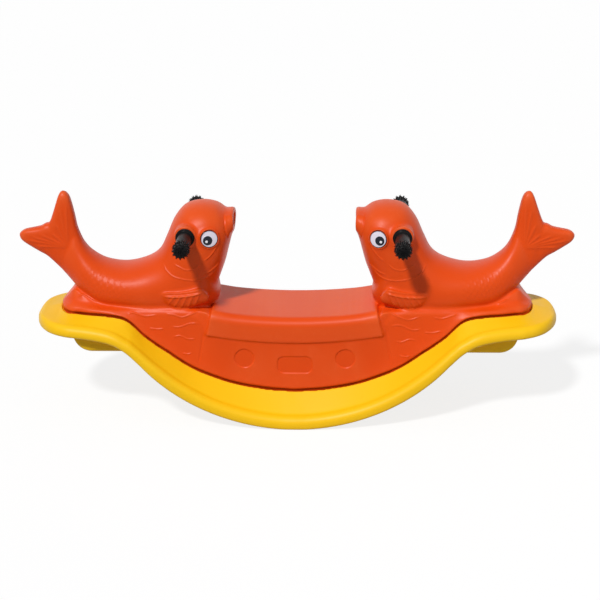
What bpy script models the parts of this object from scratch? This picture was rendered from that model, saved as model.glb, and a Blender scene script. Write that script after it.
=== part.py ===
"""Kids seesaw: two moulded fish on a boat-like hull, bolted into a yellow rocker base.

X runs along the seesaw, Y across it and Z up. The origin is on the floor under the
middle of the rocker. All sizes are in metres.
"""
import math

import bmesh
import bpy
import numpy as np
from mathutils import Matrix, Vector
from mathutils.bvhtree import BVHTree

# Fits
SEAT_GAP = 0.0003
NEST_GAP = 0.0010
HOLE_CLEARANCE = 0.0004

# Least size that a drawn-in section keeps, and how far a cutter runs past what it cuts
LEAST = 0.004
PAST = 0.020

# Walls of the two hollow mouldings
BODY_WALL = 0.0045
HULL_WALL = 0.0070
BASE_WALL = 0.0050

# Rocker base
ROCKER_RADIUS = 0.530
FLAT_LAND = 0.025
ARC_END = 0.385
WING_UNDERSIDE = [(0.420, 0.1960), (0.457, 0.2150), (0.510, 0.2240), (0.585, 0.2285),
                  (0.661, 0.2330)]
BASE_HALF_LENGTH = 0.661
BASE_TIP_ROUNDING = 0.100
BASE_HALF_WIDTHS = [(0.0, 0.188), (0.30, 0.183), (0.42, 0.168), (0.584, 0.141)]
RIM_HEIGHTS = [(0.0, 0.034), (0.20, 0.037), (0.33, 0.042), (0.40, 0.038), (0.45, 0.032),
               (0.661, 0.030)]
RIM_ROUNDING = 0.010
NEST_DEPTH = 0.008
SHELF_MARGIN = 0.004
STOP_BLOCK_BOTTOM = 0.181
STOP_BLOCK_INNER = 0.395
STOP_BLOCK_OUTER = 0.562
STOP_BLOCK_HALF_WIDTH = 0.118
STOP_BLOCK_ROUNDING = 0.036
STOP_BLOCK_SUNK = 0.007
DRAIN_HOLE = 0.014
DRAIN_PLACE = (0.300, 0.090)

# Hull of the upper body: where its side meets the base, and its deck
HULL_JOINT = [(0.0, 0.078), (0.071, 0.083), (0.142, 0.095), (0.202, 0.114), (0.263, 0.141),
              (0.321, 0.180), (0.352, 0.201), (0.381, 0.224), (0.408, 0.251), (0.435, 0.266),
              (0.480, 0.271), (0.540, 0.271), (0.598, 0.270)]
HULL_HALF_WIDTHS = [(0.0, 0.116), (0.25, 0.113), (0.40, 0.105), (0.50, 0.093), (0.550, 0.079)]
HULL_HALF_LENGTH = 0.598
HULL_TIP_ROUNDING = 0.048
HULL_ROUNDING = 0.006
BANK_RISE = 0.35
DECK = [(0.0, 0.238), (0.205, 0.240), (0.245, 0.286), (0.45, 0.286), (0.50, 0.294),
        (0.55, 0.320), (0.572, 0.334), (0.587, 0.318), (0.598, 0.292)]
DECK_HALF_WIDTHS = [(0.0, 0.108), (0.25, 0.102), (0.35, 0.092), (0.45, 0.079), (0.50, 0.066),
                    (0.55, 0.046), (0.598, 0.012)]
CREST_ABOVE_JOINT = [(0.0, 0.140), (0.20, 0.120), (0.30, 0.095), (0.38, 0.040), (0.44, 0.016),
                     (0.598, 0.016)]

# Bench
BENCH_HALF_LENGTH = 0.222
BENCH_TOP = 0.271
BENCH_END_RISE = 0.018
BENCH_HALF_WIDTH = 0.121
BENCH_BOW = 0.003
BENCH_FACE = 0.064
BENCH_ROUNDING = 0.024
BENCH_LOWER_ROUNDING = 0.006

# Fish: back edge (x, z), belly edge (x, z) and half width of each section, mouth to tail
FISH_SECTIONS = [
    ((0.1530, 0.5220), (0.1520, 0.4720), 0.047),
    ((0.1620, 0.5235), (0.1570, 0.4630), 0.052),
    ((0.1740, 0.5230), (0.1620, 0.4470), 0.058),
    ((0.1990, 0.5380), (0.1690, 0.4200), 0.075),
    ((0.2350, 0.5430), (0.1770, 0.3900), 0.088),
    ((0.2750, 0.5330), (0.1870, 0.3620), 0.093),
    ((0.3030, 0.5010), (0.1960, 0.3340), 0.094),
    ((0.3230, 0.4570), (0.1940, 0.3000), 0.093),
    ((0.3440, 0.4170), (0.2240, 0.2650), 0.093),
    ((0.3780, 0.3930), (0.3000, 0.2500), 0.092),
    ((0.4320, 0.3790), (0.4050, 0.2590), 0.088),
    ((0.4820, 0.3880), (0.4950, 0.2700), 0.074),
    ((0.5160, 0.4100), (0.5450, 0.3080), 0.058),
    ((0.5350, 0.4350), (0.5730, 0.3390), 0.043),
    ((0.5500, 0.4680), (0.5980, 0.3680), 0.030),
]
FISH_SQUARENESS = 2.25
MOUTH_DEPTH = 0.010
MOUTH_SHARE = 0.70
TAIL_OUTLINE = [
    (0.5340, 0.4320), (0.5500, 0.4710), (0.5600, 0.5310), (0.5690, 0.5600), (0.5820, 0.5700),
    (0.5940, 0.5580), (0.6040, 0.5300), (0.6170, 0.4960), (0.6330, 0.4810), (0.6600, 0.4740),
    (0.6840, 0.4690), (0.6990, 0.4560), (0.6900, 0.4390), (0.6600, 0.4190), (0.6280, 0.3990),
    (0.5980, 0.3690), (0.5730, 0.3430),
]
TAIL_THICKNESS = 0.040
TAIL_ROUNDING = 0.016
FIN_OUTLINE = [(0.214, 0.312), (0.236, 0.342), (0.262, 0.338), (0.300, 0.336), (0.332, 0.332),
               (0.322, 0.310), (0.290, 0.292), (0.250, 0.288)]
FIN_THICKNESS = 0.034
FIN_ROUNDING = 0.006
FIN_PROUD = 0.005
FIN_FLANK = 0.0925

# Eyes
EYE_PLACE = (0.2095, 0.4720)
EYE_DIAMETER = 0.042
EYE_THICKNESS = 0.0045
EYE_POCKET = 0.0025
EYE_RIM = 0.0025
EYE_EDGE = 0.0015
EYE_BOSS_PROUD = 0.0035
EYE_BOSS_ROOT = 0.012
PUPIL_DIAMETER = 0.0225
PUPIL_SHIFT = (0.0045, -0.0035)
PUPIL_THICKNESS = 0.0030
PUPIL_EDGE = 0.0010
PUPIL_POCKET = 0.0018

# Handlebars and grips
BAR_PLACE = (0.2675, 0.4775)
BAR_DIAMETER = 0.025
BAR_WALL = 0.002
GRIP_END = 0.2150
GRIP_START = 0.0965
GRIP_END_WALL = 0.006
FLANGE_DIAMETER = 0.049
FLANGE_THICKNESS = 0.007
BARREL_DIAMETER = 0.033
KNOB_DIAMETER = 0.042
KNOB_LENGTH = 0.034
KNOB_TAPER = 0.006
KNOB_ROUNDING = 0.008
KNOB_FACE_SHARE = 0.70
FLANGE_EDGE = 0.002
BAR_BOSS_DIAMETER = 0.056

# Bolts from below, washers and threaded inserts
BOLT_PLACES = [(-0.075, -0.070), (-0.075, 0.070), (0.075, -0.070), (0.075, 0.070),
               (-0.480, 0.0), (0.480, 0.0)]
BOLT_DIAMETER = 0.008
BOLT_HEAD_FLATS = 0.013
BOLT_HEAD_HEIGHT = 0.0053
WASHER_DIAMETER = 0.024
WASHER_THICKNESS = 0.002
BOLT_SKIN = 0.009
INSERT_DIAMETER = 0.014
INSERT_LENGTH = 0.018
INSERT_RECESS = 0.0015
INSERT_BOSS = 0.013
WRENCH_ROOM = 0.007

# Recessed marks on the sides of the hull
ROUND_MARK_PLACE = (0.127, 0.165)
ROUND_MARK_DIAMETER = 0.052
LONG_MARK_HEIGHT = 0.148
LONG_MARK_SIZE = (0.094, 0.048)
MARK_DEPTH = 0.0025

# How finely the curved surfaces are divided
FISH_RINGS = 24
FISH_SIDES = 18
CAVITY_RINGS = 10
CAVITY_SIDES = 10
HULL_STATIONS = 14
BASE_STATIONS = 16
BENCH_STATIONS = 9
EYE_SIDES = 24
ROUND_SIDES = 16

# Directions that a cylinder can be turned in
ACROSS = Matrix.Rotation(math.pi / 2, 4, "X")
UPRIGHT = Matrix.Identity(4)


def clear_scene():
    """Remove what the file holds already."""
    for thing in list(bpy.data.objects):
        bpy.data.objects.remove(thing, do_unlink=True)


def new_collection(name):
    """A collection linked to the scene."""
    made = bpy.data.collections.new(name)
    bpy.context.scene.collection.children.link(made)
    return made


def plastic(name, colour, roughness, metallic=0.0):
    """A Principled material in one plain colour."""
    made = bpy.data.materials.new(name)
    made.use_nodes = True
    shader = made.node_tree.nodes["Principled BSDF"]
    shader.inputs["Base Color"].default_value = (*colour, 1.0)
    shader.inputs["Roughness"].default_value = roughness
    shader.inputs["Metallic"].default_value = metallic
    made.diffuse_color = (*colour, 1.0)
    return made


def object_from(name, mesh, place):
    """A new object for a mesh in the given collection."""
    made = bpy.data.objects.new(name, mesh)
    place.objects.link(made)
    return made


def as_tool(thing):
    """Mark a cutter so that it isn't part of the model."""
    thing.hide_render = True
    thing.display_type = "WIRE"
    return thing


def solid_from_bmesh(name, shape, place):
    """Close a bmesh up as an object whose faces point out."""
    bmesh.ops.recalc_face_normals(shape, faces=shape.faces)
    mesh = bpy.data.meshes.new(name)
    shape.to_mesh(mesh)
    shape.free()
    return object_from(name, mesh, place)


def combine(target, tool, operation):
    """Join a tool to the target, or cut it away, for good."""
    step = target.modifiers.new(operation, "BOOLEAN")
    step.operation = operation
    step.solver = "EXACT"
    step.object = tool
    bpy.context.view_layer.update()
    seen = target.evaluated_get(bpy.context.evaluated_depsgraph_get())
    result = bpy.data.meshes.new_from_object(seen)
    target.modifiers.clear()
    target.data = result


def smooth_rows(rows, count):
    """Rows on a Catmull-Rom curve through the given rows, evenly spread in their index."""
    known = np.array(rows, float)
    padded = np.vstack([2 * known[0] - known[1], known, 2 * known[-1] - known[-2]])
    where = np.linspace(0, len(known) - 1, count)
    span = np.minimum(where.astype(int), len(known) - 2)
    t = (where - span)[:, None]
    a, b, c, d = (padded[span + k] for k in range(4))
    return 0.5 * (2 * b + (c - a) * t + (2 * a - 5 * b + 4 * c - d) * t ** 2
                  + (3 * b - a - 3 * c + d) * t ** 3)


def line_at(points, x):
    """Height of a smooth line through a few points, at each x."""
    fine = smooth_rows(points, 16 * len(points))
    return np.interp(x, fine[:, 0], fine[:, 1])


def loft(name, rings, place):
    """A closed solid through rings of equally many points, with a flat cap at each end."""
    shape = bmesh.new()
    made = [[shape.verts.new(point) for point in ring] for ring in rings]
    for near, far in zip(made, made[1:]):
        for k in range(len(near)):
            after = (k + 1) % len(near)
            shape.faces.new((near[k], near[after], far[after], far[k]))
    shape.faces.new(made[0])
    shape.faces.new(reversed(made[-1]))
    return solid_from_bmesh(name, shape, place)


def cylinder(name, diameter, depth, sides, turn, centre, place):
    """A cylinder whose middle is at centre, turned by a rotation matrix."""
    shape = bmesh.new()
    bmesh.ops.create_cone(shape, cap_ends=True, segments=sides, radius1=diameter / 2,
                          radius2=diameter / 2, depth=depth,
                          matrix=Matrix.Translation(centre) @ turn)
    return solid_from_bmesh(name, shape, place)


def tip_share(x, half_length, rounding):
    """How wide the plan still is near a round tip, from 1 down to 0 at the tip."""
    into = np.clip((np.abs(x) - (half_length - rounding)) / rounding, 0, 1)
    return np.sqrt(1 - into ** 2)


def stations(half_length, rounding, count, inner=None):
    """Places along X, closer together in the round tips, the same on both sides."""
    straight = half_length - rounding
    angles = np.radians([0, 24, 45, 62, 76])
    tip = straight + rounding * np.sin(angles)
    plain = np.linspace(inner or 0.0, straight, count + 1)[:-1]
    right = np.concatenate([plain, tip])
    if inner:
        return np.concatenate([-right[::-1], right])
    return np.concatenate([-right[:0:-1], right])


def tip_inset(x, half_length, rounding, inset):
    """Where a station goes when the form is drawn in: only the round tips move."""
    straight = half_length - rounding
    if abs(x) <= straight:
        return x
    return math.copysign(straight + (abs(x) - straight) * (rounding - inset) / rounding, x)


def rocker_line(x):
    """Height of the underside: a flat land, the rocking arc, then the wing."""
    x = np.abs(x)
    sink = ROCKER_RADIUS - math.sqrt(ROCKER_RADIUS ** 2 - FLAT_LAND ** 2)
    arc_x = np.minimum(np.maximum(x, FLAT_LAND), ARC_END)
    arc = ROCKER_RADIUS - np.sqrt(ROCKER_RADIUS ** 2 - arc_x ** 2) - sink
    end = ROCKER_RADIUS - math.sqrt(ROCKER_RADIUS ** 2 - ARC_END ** 2) - sink
    wing = line_at([(ARC_END, end)] + WING_UNDERSIDE, x)
    return np.where(x < ARC_END, arc, wing)


def rim_top_line(x):
    """Upper edge of the rim."""
    return rocker_line(x) + line_at(RIM_HEIGHTS, np.abs(x))


def joint_line(x):
    """Height at which the orange side meets the yellow shelf."""
    return line_at(HULL_JOINT, np.abs(x))


def base_half_width(x):
    """Half width of the base in plan."""
    share = tip_share(x, BASE_HALF_LENGTH, BASE_TIP_ROUNDING)
    return line_at(BASE_HALF_WIDTHS, np.abs(x)) * share


def hull_half_width(x):
    """Half width of the hull where it meets the base."""
    share = tip_share(x, HULL_HALF_LENGTH, HULL_TIP_ROUNDING)
    return line_at(HULL_HALF_WIDTHS, np.abs(x)) * share


def base_section(x, inset):
    """Half ring of the base at one x, from the bottom middle up to the top middle."""
    low = rocker_line(x) + inset
    rim = max(rim_top_line(x) - inset, low + LEAST)
    top = max(joint_line(x) - inset - (NEST_DEPTH if inset else 0.0), rim)
    edge = max(base_half_width(x) - inset, LEAST)
    rounding = min(RIM_ROUNDING - inset, 0.45 * edge, 0.45 * (rim - low))
    middle = edge - rounding
    inner = max(min(hull_half_width(x) + SHELF_MARGIN, middle - LEAST / 2), LEAST / 2)
    half = [(edge * 0.5, low)]
    for degrees in ((-90, -45, 0) if inset == 0 else (-45,)):
        angle = math.radians(degrees)
        half.append((middle + rounding * math.cos(angle),
                     low + rounding + rounding * math.sin(angle)))
    for degrees in ((0, 45, 90) if inset == 0 else (45,)):
        angle = math.radians(degrees)
        half.append((middle + rounding * math.cos(angle),
                     rim - rounding + rounding * math.sin(angle)))
    half.append((inner, top))
    return half


def mirrored_ring(x, half):
    """A full ring from a half ring, mirrored at Y = 0."""
    right = [(x, y, z) for y, z in half]
    left = [(x, -y, z) for y, z in reversed(half)]
    return right + left


def base_solid(name, inset, count, place):
    """The base's outer form, or its cavity when inset by the wall."""
    plan = (BASE_HALF_LENGTH, BASE_TIP_ROUNDING)
    places = stations(*plan, count, FLAT_LAND)
    rings = [mirrored_ring(tip_inset(x, *plan, inset), base_section(x, inset)) for x in places]
    return loft(name, rings, place)


def hull_section(x, inset):
    """Half ring of the hull at one x; a negative inset makes it larger."""
    low = joint_line(x) - NEST_DEPTH - (SEAT_GAP if inset < 0 else 0.0)
    edge = max(hull_half_width(x) - inset, LEAST)
    deck = line_at(DECK, abs(x))
    crest = min(joint_line(x) + line_at(CREST_ABOVE_JOINT, abs(x)), deck - HULL_ROUNDING)
    deck_edge = max(min(line_at(DECK_HALF_WIDTHS, abs(x)), edge - LEAST), LEAST / 2)
    rounding = min(HULL_ROUNDING, 0.3 * edge)
    bank = (deck_edge + (edge - deck_edge) * BANK_RISE, crest + (deck - crest) * BANK_RISE)
    return [(edge * 0.5, low), (edge - rounding, low), (edge, low + rounding),
            (edge, crest - rounding / 2), (edge - rounding / 2, crest + rounding / 2),
            (bank[0], bank[1] + rounding / 3), (deck_edge, deck)]


def hull_cavity_section(x, inset):
    """Half ring of the hollow under the deck, which reaches up into the bench."""
    low = joint_line(x) - NEST_DEPTH + inset
    edge = max(hull_half_width(x) - inset, LEAST)
    under_bench = abs(x) < BENCH_HALF_LENGTH - BENCH_ROUNDING - inset
    deck = (bench_top(x) if under_bench else line_at(DECK, abs(x))) - inset
    crest = joint_line(x) + line_at(CREST_ABOVE_JOINT, abs(x)) - inset
    crest = max(min(crest, deck - LEAST), low + LEAST)
    deck_edge = line_at(DECK_HALF_WIDTHS, abs(x)) - (BENCH_ROUNDING if under_bench else inset)
    return [(edge - LEAST / 2, low), (edge, low + LEAST / 2), (edge, crest),
            (max(min(deck_edge, edge - LEAST / 2), LEAST / 2), max(deck, crest + LEAST / 2))]


def hull_solid(name, section, inset, count, place):
    """The hull's outer form, its cavity, or the larger form that cuts the nest."""
    plan = (HULL_HALF_LENGTH, HULL_TIP_ROUNDING)
    places = stations(*plan, count)
    rings = [mirrored_ring(tip_inset(x, *plan, inset), section(x, inset)) for x in places]
    return loft(name, rings, place)


def bench_top(x):
    """Height of the bench, which rises towards the fish."""
    return BENCH_TOP + BENCH_END_RISE * (x / BENCH_HALF_LENGTH) ** 2


def bench_section(x):
    """Half ring of the bench at one x: a cushion-like block with rounded long edges."""
    top = bench_top(x)
    edge = BENCH_HALF_WIDTH - BENCH_BOW * (x / BENCH_HALF_LENGTH) ** 2
    low = top - BENCH_FACE
    half = [(edge * 0.5, low), (edge - BENCH_LOWER_ROUNDING, low),
            (edge, low + BENCH_LOWER_ROUNDING)]
    for degrees in (0, 30, 60, 90):
        angle = math.radians(degrees)
        half.append((edge - BENCH_ROUNDING + BENCH_ROUNDING * math.cos(angle),
                     top - BENCH_ROUNDING + BENCH_ROUNDING * math.sin(angle)))
    return half


def bench_solid(name, place):
    """The bench block between the two fish."""
    places = np.linspace(-BENCH_HALF_LENGTH, BENCH_HALF_LENGTH, BENCH_STATIONS)
    return loft(name, [mirrored_ring(x, bench_section(x)) for x in places], place)


def fish_ring(row, side, count):
    """One section of a fish: an oval between its back edge and its belly edge."""
    back = np.array([row[0], row[1]])
    belly = np.array([row[2], row[3]])
    middle = (back + belly) / 2
    reach = (back - belly) / 2
    angles = np.arange(count) * 2 * math.pi / count
    power = 2 / FISH_SQUARENESS
    along = np.sign(np.cos(angles)) * np.abs(np.cos(angles)) ** power
    across = np.sign(np.sin(angles)) * np.abs(np.sin(angles)) ** power
    points = middle + along[:, None] * reach
    return [(side * p[0], row[4] * w, p[1]) for p, w in zip(points, across)]


def inset_row(row, inset):
    """A fish section drawn in by the wall."""
    back = np.array(row[:2])
    belly = np.array(row[2:4])
    reach = back - belly
    pull = reach / np.linalg.norm(reach) * inset
    return np.array([*(back - pull), *(belly + pull), row[4] - inset])


def fish_solid(name, side, place):
    """Outer form of one fish without its tail fin, with a shallow hollow for the mouth."""
    rows = smooth_rows([(*back, *belly, width) for back, belly, width in FISH_SECTIONS],
                       FISH_RINGS)
    rings = [fish_ring(row, side, FISH_SIDES) for row in rows]
    lip = np.array(rings[0])
    centre = lip.mean(axis=0)
    floor = centre + (lip - centre) * MOUTH_SHARE + np.array([side * MOUTH_DEPTH, 0, 0])
    return loft(name, [floor.tolist()] + rings, place)


def fish_cavity(name, side, place):
    """Hollow of one fish, from behind the mouth to the tail root."""
    rows = smooth_rows([(*back, *belly, width) for back, belly, width in FISH_SECTIONS],
                       4 * CAVITY_RINGS)
    behind_mouth = rows[:, 0] > FISH_SECTIONS[2][0][0] + BODY_WALL
    chosen = rows[behind_mouth][::3]
    rings = [fish_ring(inset_row(row, BODY_WALL), side, CAVITY_SIDES) for row in chosen]
    return loft(name, rings, place)


def flat_solid(name, outline, thickness, rounding, side, place):
    """A thick plate in the plane Y = 0 with rounded edges, from a smooth closed outline."""
    curve = bpy.data.curves.new(name, "CURVE")
    curve.dimensions = "2D"
    curve.fill_mode = "BOTH"
    curve.extrude = thickness / 2 - rounding
    curve.bevel_depth = rounding
    curve.bevel_resolution = 1
    curve.offset = -rounding
    curve.resolution_u = 2
    line = curve.splines.new("BEZIER")
    line.bezier_points.add(len(outline) - 1)
    for point, (x, z) in zip(line.bezier_points, outline):
        point.co = (x, z, 0)
        point.handle_left_type = "AUTO"
        point.handle_right_type = "AUTO"
    line.use_cyclic_u = True
    drawn = object_from(name + "_outline", curve, place)
    bpy.context.view_layer.update()
    seen = drawn.evaluated_get(bpy.context.evaluated_depsgraph_get())
    mesh = bpy.data.meshes.new_from_object(seen)
    bpy.data.objects.remove(drawn, do_unlink=True)
    shape = bmesh.new()
    shape.from_mesh(mesh)
    bmesh.ops.remove_doubles(shape, verts=shape.verts, dist=0.00005)
    bmesh.ops.transform(shape, matrix=ACROSS, verts=shape.verts)
    if side < 0:
        bmesh.ops.transform(shape, matrix=Matrix.Scale(-1, 4, (1, 0, 0)), verts=shape.verts)
    return solid_from_bmesh(name, shape, place)


def flank_point(tree, x, z, face):
    """Where a line across the seesaw first meets the body, and the body's direction there."""
    start = Vector((x, face * 0.5, z))
    place, normal, _, _ = tree.ray_cast(start, Vector((0, -face, 0)))
    return place, normal


def build_base(place, tools, hull_cutter):
    """The yellow rocker base with its stop blocks, nest, bolt recesses and drain holes."""
    base = base_solid("rocker_base", 0.0, BASE_STATIONS, place)
    cavity = base_solid("base_cavity", BASE_WALL, BASE_STATIONS, tools)
    for side in (-1, 1):
        combine(base, stop_block("stop_block", side, 0.0, tools), "UNION")
        combine(cavity, stop_block("stop_cavity", side, BASE_WALL, tools), "UNION")
    for x, y in BOLT_PLACES:
        ceiling = bolt_ceiling(x)
        recess = WASHER_DIAMETER + 2 * WRENCH_ROOM
        for diameter, top, target in ((recess + 2 * BASE_WALL, ceiling + PAST, cavity),
                                      (recess, ceiling, base)):
            tool = cylinder("bolt_recess", diameter, top + PAST, ROUND_SIDES, UPRIGHT,
                            (x, y, (top - PAST) / 2), tools)
            combine(target, tool, "DIFFERENCE")
        tool = cylinder("bolt_way", BOLT_DIAMETER + 2 * HOLE_CLEARANCE, 2 * PAST, ROUND_SIDES,
                        UPRIGHT, (x, y, ceiling), tools)
        combine(base, tool, "DIFFERENCE")
    combine(base, hull_cutter, "DIFFERENCE")
    combine(base, cavity, "DIFFERENCE")
    for side in (-1, 1):
        x = side * DRAIN_PLACE[0]
        tool = cylinder("drain", DRAIN_HOLE, 2 * PAST, ROUND_SIDES, UPRIGHT,
                        (x, DRAIN_PLACE[1], float(rocker_line(x))), tools)
        combine(base, tool, "DIFFERENCE")
    return base


def stop_block(name, side, inset, tools):
    """End-stop block under a wing, with its outer lower edge rounded."""
    low = STOP_BLOCK_BOTTOM + inset
    outer = STOP_BLOCK_OUTER - inset
    inner = STOP_BLOCK_INNER + inset
    width = STOP_BLOCK_HALF_WIDTH - inset
    sunk = STOP_BLOCK_SUNK + inset
    profile = [(inner, low)]
    for degrees in (0, 30, 60, 90):
        angle = math.radians(degrees)
        profile.append((outer - STOP_BLOCK_ROUNDING * (1 - math.sin(angle)),
                        low + STOP_BLOCK_ROUNDING * (1 - math.cos(angle))))
    for x in np.linspace(outer, inner, 5):
        profile.append((x, max(float(rocker_line(x)) + sunk, low + LEAST)))
    rings = [[(side * x, y, z) for x, z in profile] for y in (-width, width)]
    return loft(name, rings, tools)


def bolt_ceiling(x):
    """Height of the ledge in the base that a bolt's washer bears on."""
    return float(joint_line(x)) - NEST_DEPTH - SEAT_GAP - BOLT_SKIN


def build_upper(place, tools):
    """The orange upper body: hull, bench, two fish with tails and fins, all one hollow piece."""
    body = hull_solid("upper_body", hull_section, 0.0, HULL_STATIONS, place)
    cavity = hull_solid("hull_cavity", hull_cavity_section, HULL_WALL, HULL_STATIONS, tools)
    combine(body, bench_solid("bench", tools), "UNION")
    for side in (-1, 1):
        combine(body, fish_solid("fish", side, tools), "UNION")
        tail = flat_solid("tail", TAIL_OUTLINE, TAIL_THICKNESS, TAIL_ROUNDING, side, tools)
        combine(body, tail, "UNION")
        for face in (-1, 1):
            fin = flat_solid("fin", FIN_OUTLINE, FIN_THICKNESS, FIN_ROUNDING, side, tools)
            across = face * (FIN_FLANK + FIN_PROUD - FIN_THICKNESS / 2)
            fin.data.transform(Matrix.Translation((0, across, 0)))
            combine(body, fin, "UNION")
        combine(cavity, fish_cavity("fish_cavity", side, tools), "UNION")
    flanks = BVHTree.FromObject(body, bpy.context.evaluated_depsgraph_get())
    add_bar_bosses(body, tools)
    eyes = add_eye_bosses(body, cavity, flanks, tools)
    add_insert_bosses(cavity, tools)
    combine(body, cavity, "DIFFERENCE")
    cut_bar_holes(body, tools)
    cut_insert_holes(body, tools)
    cut_side_marks(body, tools)
    return body, eyes


def add_bar_bosses(body, tools):
    """A round flat pad on each side of each head for the grips' flanges."""
    for side in (-1, 1):
        centre = (side * BAR_PLACE[0], 0, BAR_PLACE[1])
        pad = cylinder("bar_boss", BAR_BOSS_DIAMETER, 2 * (GRIP_START - SEAT_GAP), EYE_SIDES,
                       ACROSS, centre, tools)
        combine(body, pad, "UNION")


def cut_bar_holes(body, tools):
    """The hole that each handlebar passes through, right across the head."""
    for side in (-1, 1):
        centre = (side * BAR_PLACE[0], 0, BAR_PLACE[1])
        hole = cylinder("bar_hole", BAR_DIAMETER + 2 * HOLE_CLEARANCE, 2 * (GRIP_START + PAST),
                        ROUND_SIDES, ACROSS, centre, tools)
        combine(body, hole, "DIFFERENCE")


def eye_frame(place, normal):
    """A matrix at a point of the flank, with its Z axis pointing out of the head."""
    return Matrix.Translation(place) @ normal.to_track_quat("Z", "Y").to_matrix().to_4x4()


def add_eye_bosses(body, cavity, flanks, tools):
    """A round boss with a shallow pocket for each eye; gives the four eye frames back."""
    frames = {}
    for side in (-1, 1):
        for face in (-1, 1):
            place, normal = flank_point(flanks, side * EYE_PLACE[0], EYE_PLACE[1], face)
            frame = eye_frame(place, normal)
            rim = EYE_DIAMETER + 2 * EYE_RIM
            thickness = EYE_BOSS_ROOT + EYE_BOSS_PROUD
            boss = cylinder("eye_boss", rim + 2 * HOLE_CLEARANCE, thickness, EYE_SIDES, UPRIGHT,
                            (0, 0, EYE_BOSS_PROUD - thickness / 2), tools)
            backing = cylinder("eye_backing", rim, 2 * PAST, ROUND_SIDES, UPRIGHT,
                               (0, 0, PAST - BODY_WALL), tools)
            pocket = cylinder("eye_pocket", EYE_DIAMETER + 2 * HOLE_CLEARANCE, PAST, EYE_SIDES,
                              UPRIGHT, (0, 0, EYE_BOSS_PROUD - EYE_POCKET + PAST / 2), tools)
            for tool, target, operation in ((boss, body, "UNION"),
                                            (backing, cavity, "DIFFERENCE"),
                                            (pocket, body, "DIFFERENCE")):
                tool.data.transform(frame)
                combine(target, tool, operation)
            frames[(side, face)] = frame
    return frames


def insert_floor(x):
    """Height of a threaded insert's lower end, a little up inside the hull's underside."""
    return float(joint_line(x)) - NEST_DEPTH + INSERT_RECESS


def add_insert_bosses(cavity, tools):
    """Leave solid plastic round each threaded insert by taking it out of the cavity."""
    for x, y in BOLT_PLACES:
        height = INSERT_LENGTH + INSERT_BOSS
        boss = cylinder("insert_boss", INSERT_DIAMETER + 2 * INSERT_BOSS, height + PAST,
                        ROUND_SIDES, UPRIGHT, (x, y, insert_floor(x) + (height - PAST) / 2), tools)
        combine(cavity, boss, "DIFFERENCE")


def cut_insert_holes(body, tools):
    """Blind holes from below for the threaded inserts."""
    for x, y in BOLT_PLACES:
        depth = INSERT_LENGTH + SEAT_GAP
        seat = cylinder("insert_seat", INSERT_DIAMETER + 2 * HOLE_CLEARANCE, depth + PAST,
                        ROUND_SIDES, UPRIGHT, (x, y, insert_floor(x) + (depth - PAST) / 2), tools)
        combine(body, seat, "DIFFERENCE")


def cut_side_marks(body, tools):
    """Shallow recessed marks on both sides of the hull: two round ones and a long one."""
    for face in (-1, 1):
        for x in (-ROUND_MARK_PLACE[0], ROUND_MARK_PLACE[0]):
            edge = float(hull_half_width(x)) - MARK_DEPTH
            mark = cylinder("round_mark", ROUND_MARK_DIAMETER, PAST, EYE_SIDES, ACROSS,
                            (x, face * (edge + PAST / 2), ROUND_MARK_PLACE[1]), tools)
            combine(body, mark, "DIFFERENCE")
        combine(body, long_mark(face, tools), "DIFFERENCE")


def long_mark(face, tools):
    """A shallow recess with round ends."""
    width, height = LONG_MARK_SIZE
    straight = (width - height) / 2
    outline = []
    for end in (1, -1):
        for degrees in range(-90, 91, 30):
            angle = math.radians(degrees)
            outline.append((end * (straight + height / 2 * math.cos(angle)),
                            LONG_MARK_HEIGHT + end * height / 2 * math.sin(angle)))
    edge = float(hull_half_width(0.0)) - MARK_DEPTH
    rings = [[(x, face * (edge + out), z) for x, z in outline] for out in (0, PAST)]
    return loft("long_mark", rings, tools)


def turned(name, profile, sides, place):
    """A turned solid from (radius, height) points, which run down its outer side.

    A profile that starts on the axis ends there; any other closes on itself, as a ring's does.
    """
    mesh = bpy.data.meshes.new(name)
    links = [(k, k + 1) for k in range(len(profile) - 1)]
    if profile[0][0] > 0:
        links.append((len(profile) - 1, 0))
    mesh.from_pydata([(radius, 0, height) for radius, height in profile], links, [])
    made = object_from(name, mesh, place)
    spin = made.modifiers.new("turn", "SCREW")
    spin.steps = sides
    spin.render_steps = sides
    spin.use_merge_vertices = True
    spin.merge_threshold = 0.00001
    return made


def build_handlebar(name, side, place):
    """A steel tube across the head, open at both ends inside the grips."""
    outer = BAR_DIAMETER / 2
    inner = outer - BAR_WALL
    half = GRIP_END - GRIP_END_WALL - SEAT_GAP
    profile = [(inner, half), (outer, half), (outer, -half), (inner, -half)]
    bar = turned(name, profile, ROUND_SIDES, place)
    bar.location = (side * BAR_PLACE[0], 0, BAR_PLACE[1])
    bar.rotation_euler = (math.pi / 2, 0, 0)
    return bar


def build_grip(name, side, face, place):
    """A hand grip pushed over the bar: flange, barrel and nubbed end, with a blind bore."""
    bore = BAR_DIAMETER / 2 + SEAT_GAP
    length = GRIP_END - GRIP_START
    knob = KNOB_DIAMETER / 2
    barrel = BARREL_DIAMETER / 2
    flange = FLANGE_DIAMETER / 2
    profile = [(0, length), (knob * KNOB_FACE_SHARE, length), (knob, length - KNOB_ROUNDING),
               (knob, length - KNOB_LENGTH + KNOB_TAPER), (barrel, length - KNOB_LENGTH),
               (barrel, FLANGE_THICKNESS), (flange - FLANGE_EDGE, FLANGE_THICKNESS),
               (flange, FLANGE_THICKNESS - FLANGE_EDGE), (flange, 0), (bore, 0),
               (bore, length - GRIP_END_WALL), (0, length - GRIP_END_WALL)]
    grip = turned(name, profile, ROUND_SIDES, place)
    grip.location = (side * BAR_PLACE[0], face * GRIP_START, BAR_PLACE[1])
    grip.rotation_euler = (-face * math.pi / 2, 0, 0)
    return grip


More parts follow.
